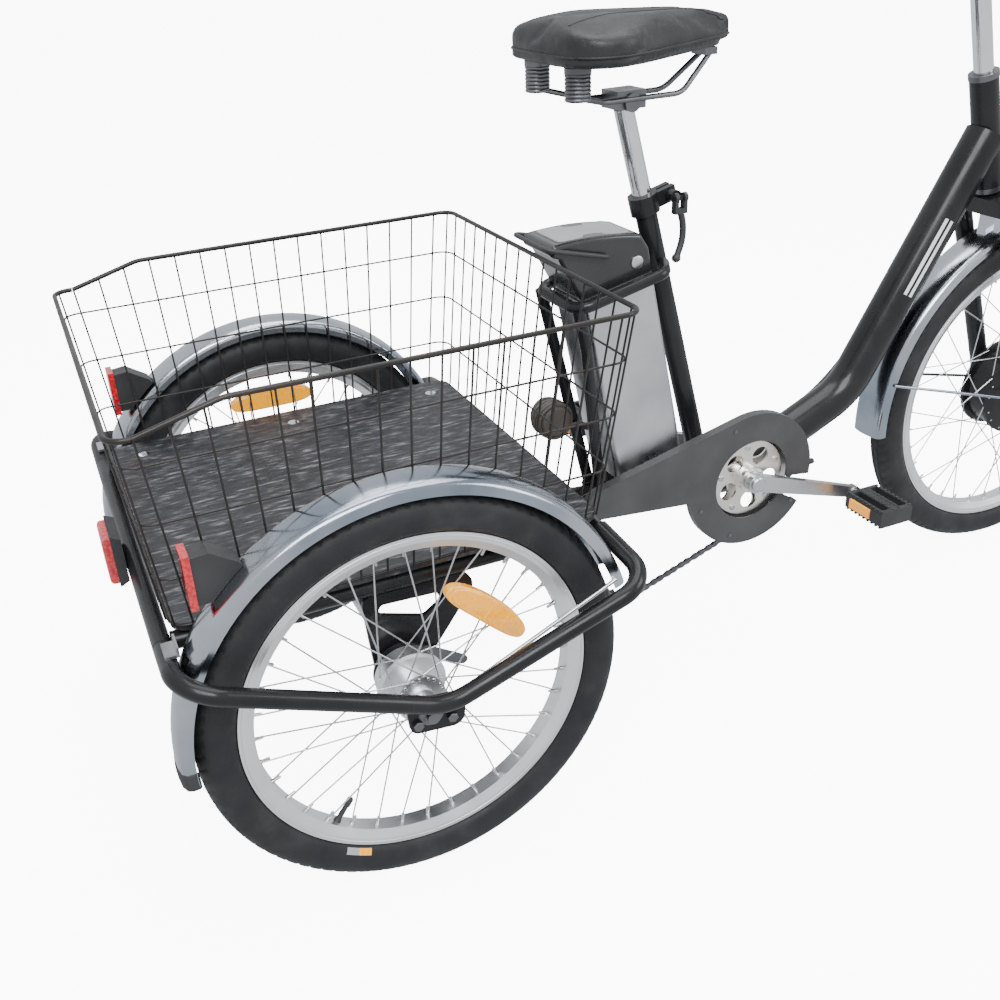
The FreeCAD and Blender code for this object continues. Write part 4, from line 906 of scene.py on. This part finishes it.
def line_through(places):
    """The middle and the long direction of a cloud of points."""
    middle = sum(places, Vector()) / len(places)
    axis = Vector((0.3, 1, 0.2))
    for _ in range(24):
        axis = sum(((p - middle) * (p - middle).dot(axis) for p in places), Vector()).normalized()
    return middle, axis


def front_end():
    """Moulded ribs on each grip and the lamp's lens."""
    ribs = Heap()
    node = NODES["grips"]
    for side in (-1, 1):
        places = [node.matrix_world @ v.co for v in node.data.vertices]
        middle, axis = line_through([p for p in places if p.y * side > 0])
        for k in range(-7, 8):
            centre = middle + axis * k * 0.0078
            ribs.rod(centre - axis * 0.0022, centre + axis * 0.0022,
                     ((0, 15.9), (0.25, 16.9), (0.75, 16.9), (1, 15.9)), 32)
    ribs.done("grip_ribs", RUBBER, "steering", "grip_rubber")
    high = box_of("headlamp")[1]
    middle_z = high[2] - 31
    glass = Heap()
    glass.rod(at(high[0] - 1, 0, middle_z), at(high[0] + 3, 0, middle_z),
              ((0, 28), (0.4, 27), (0.8, 20), (1, 8)), 48)
    glass.done("headlamp_lens", CLEAR, "steering")


saddle()
front_end()


# ---------------------------------------------------------------- stage

def white_surround(name, points, faces):
    """A glowing white surface that is seen but casts no light on the tricycle."""
    data = bpy.data.meshes.new(name)
    data.from_pydata(points, [], faces)
    surround = bpy.data.objects.new(name, data)
    bpy.context.scene.collection.objects.link(surround)
    s = Shader(f"{name}_white", (0.93, 0.93, 0.935), 0.6)
    s.roughness(s.noise(3, 4), 0.5, 0.7)
    s.skin.inputs["Emission Color"].default_value = (1, 1, 1, 1)
    s.skin.inputs["Emission Strength"].default_value = 9
    data.materials.append(s.material)
    surround.visible_diffuse = False
    surround.visible_glossy = False
    surround.visible_shadow = False


def stage():
    white_surround("floor", [(-60, -60, 0), (60, -60, 0), (60, 60, 0), (-60, 60, 0)], [[0, 1, 2, 3]])
    wall = Heap()
    rings = []
    for k in range(7):
        lift = math.radians(89 * k / 6)
        reach, height = 58 * math.cos(lift), 58 * math.sin(lift) - 0.2
        rings.append([Vector((reach * math.cos(a), reach * math.sin(a), height))
                      for a in (math.tau * n / 48 for n in range(48))])
    wall.rings(rings)
    white_surround("wall", wall.points, wall.faces[:-2])
    world = bpy.data.worlds.new("studio")
    bpy.context.scene.world = world
    world.use_nodes = True
    world.node_tree.nodes["Background"].inputs["Color"].default_value = (0.95, 0.97, 1.0, 1)
    world.node_tree.nodes["Background"].inputs["Strength"].default_value = 1.0
    for name, place, aim, width, height, power in (
            ("key", (-1.2, -2.4, 3.0), (0, 0, 0.4), 2.4, 1.6, 130),
            ("fill", (2.6, -2.2, 2.2), (0, 0, 0.4), 1.6, 2.2, 60),
            ("top", (0.2, 0.4, 3.4), (0, 0, 0.3), 2.6, 2.6, 90)):
        data = bpy.data.lights.new(name, "AREA")
        data.shape = "RECTANGLE"
        data.size, data.size_y, data.energy = width, height, power
        lamp = bpy.data.objects.new(name, data)
        bpy.context.scene.collection.objects.link(lamp)
        lamp.location = place
        lamp.rotation_mode = "QUATERNION"
        lamp.rotation_quaternion = (Vector(aim) - Vector(place)).to_track_quat("-Z", "Y")


stage()
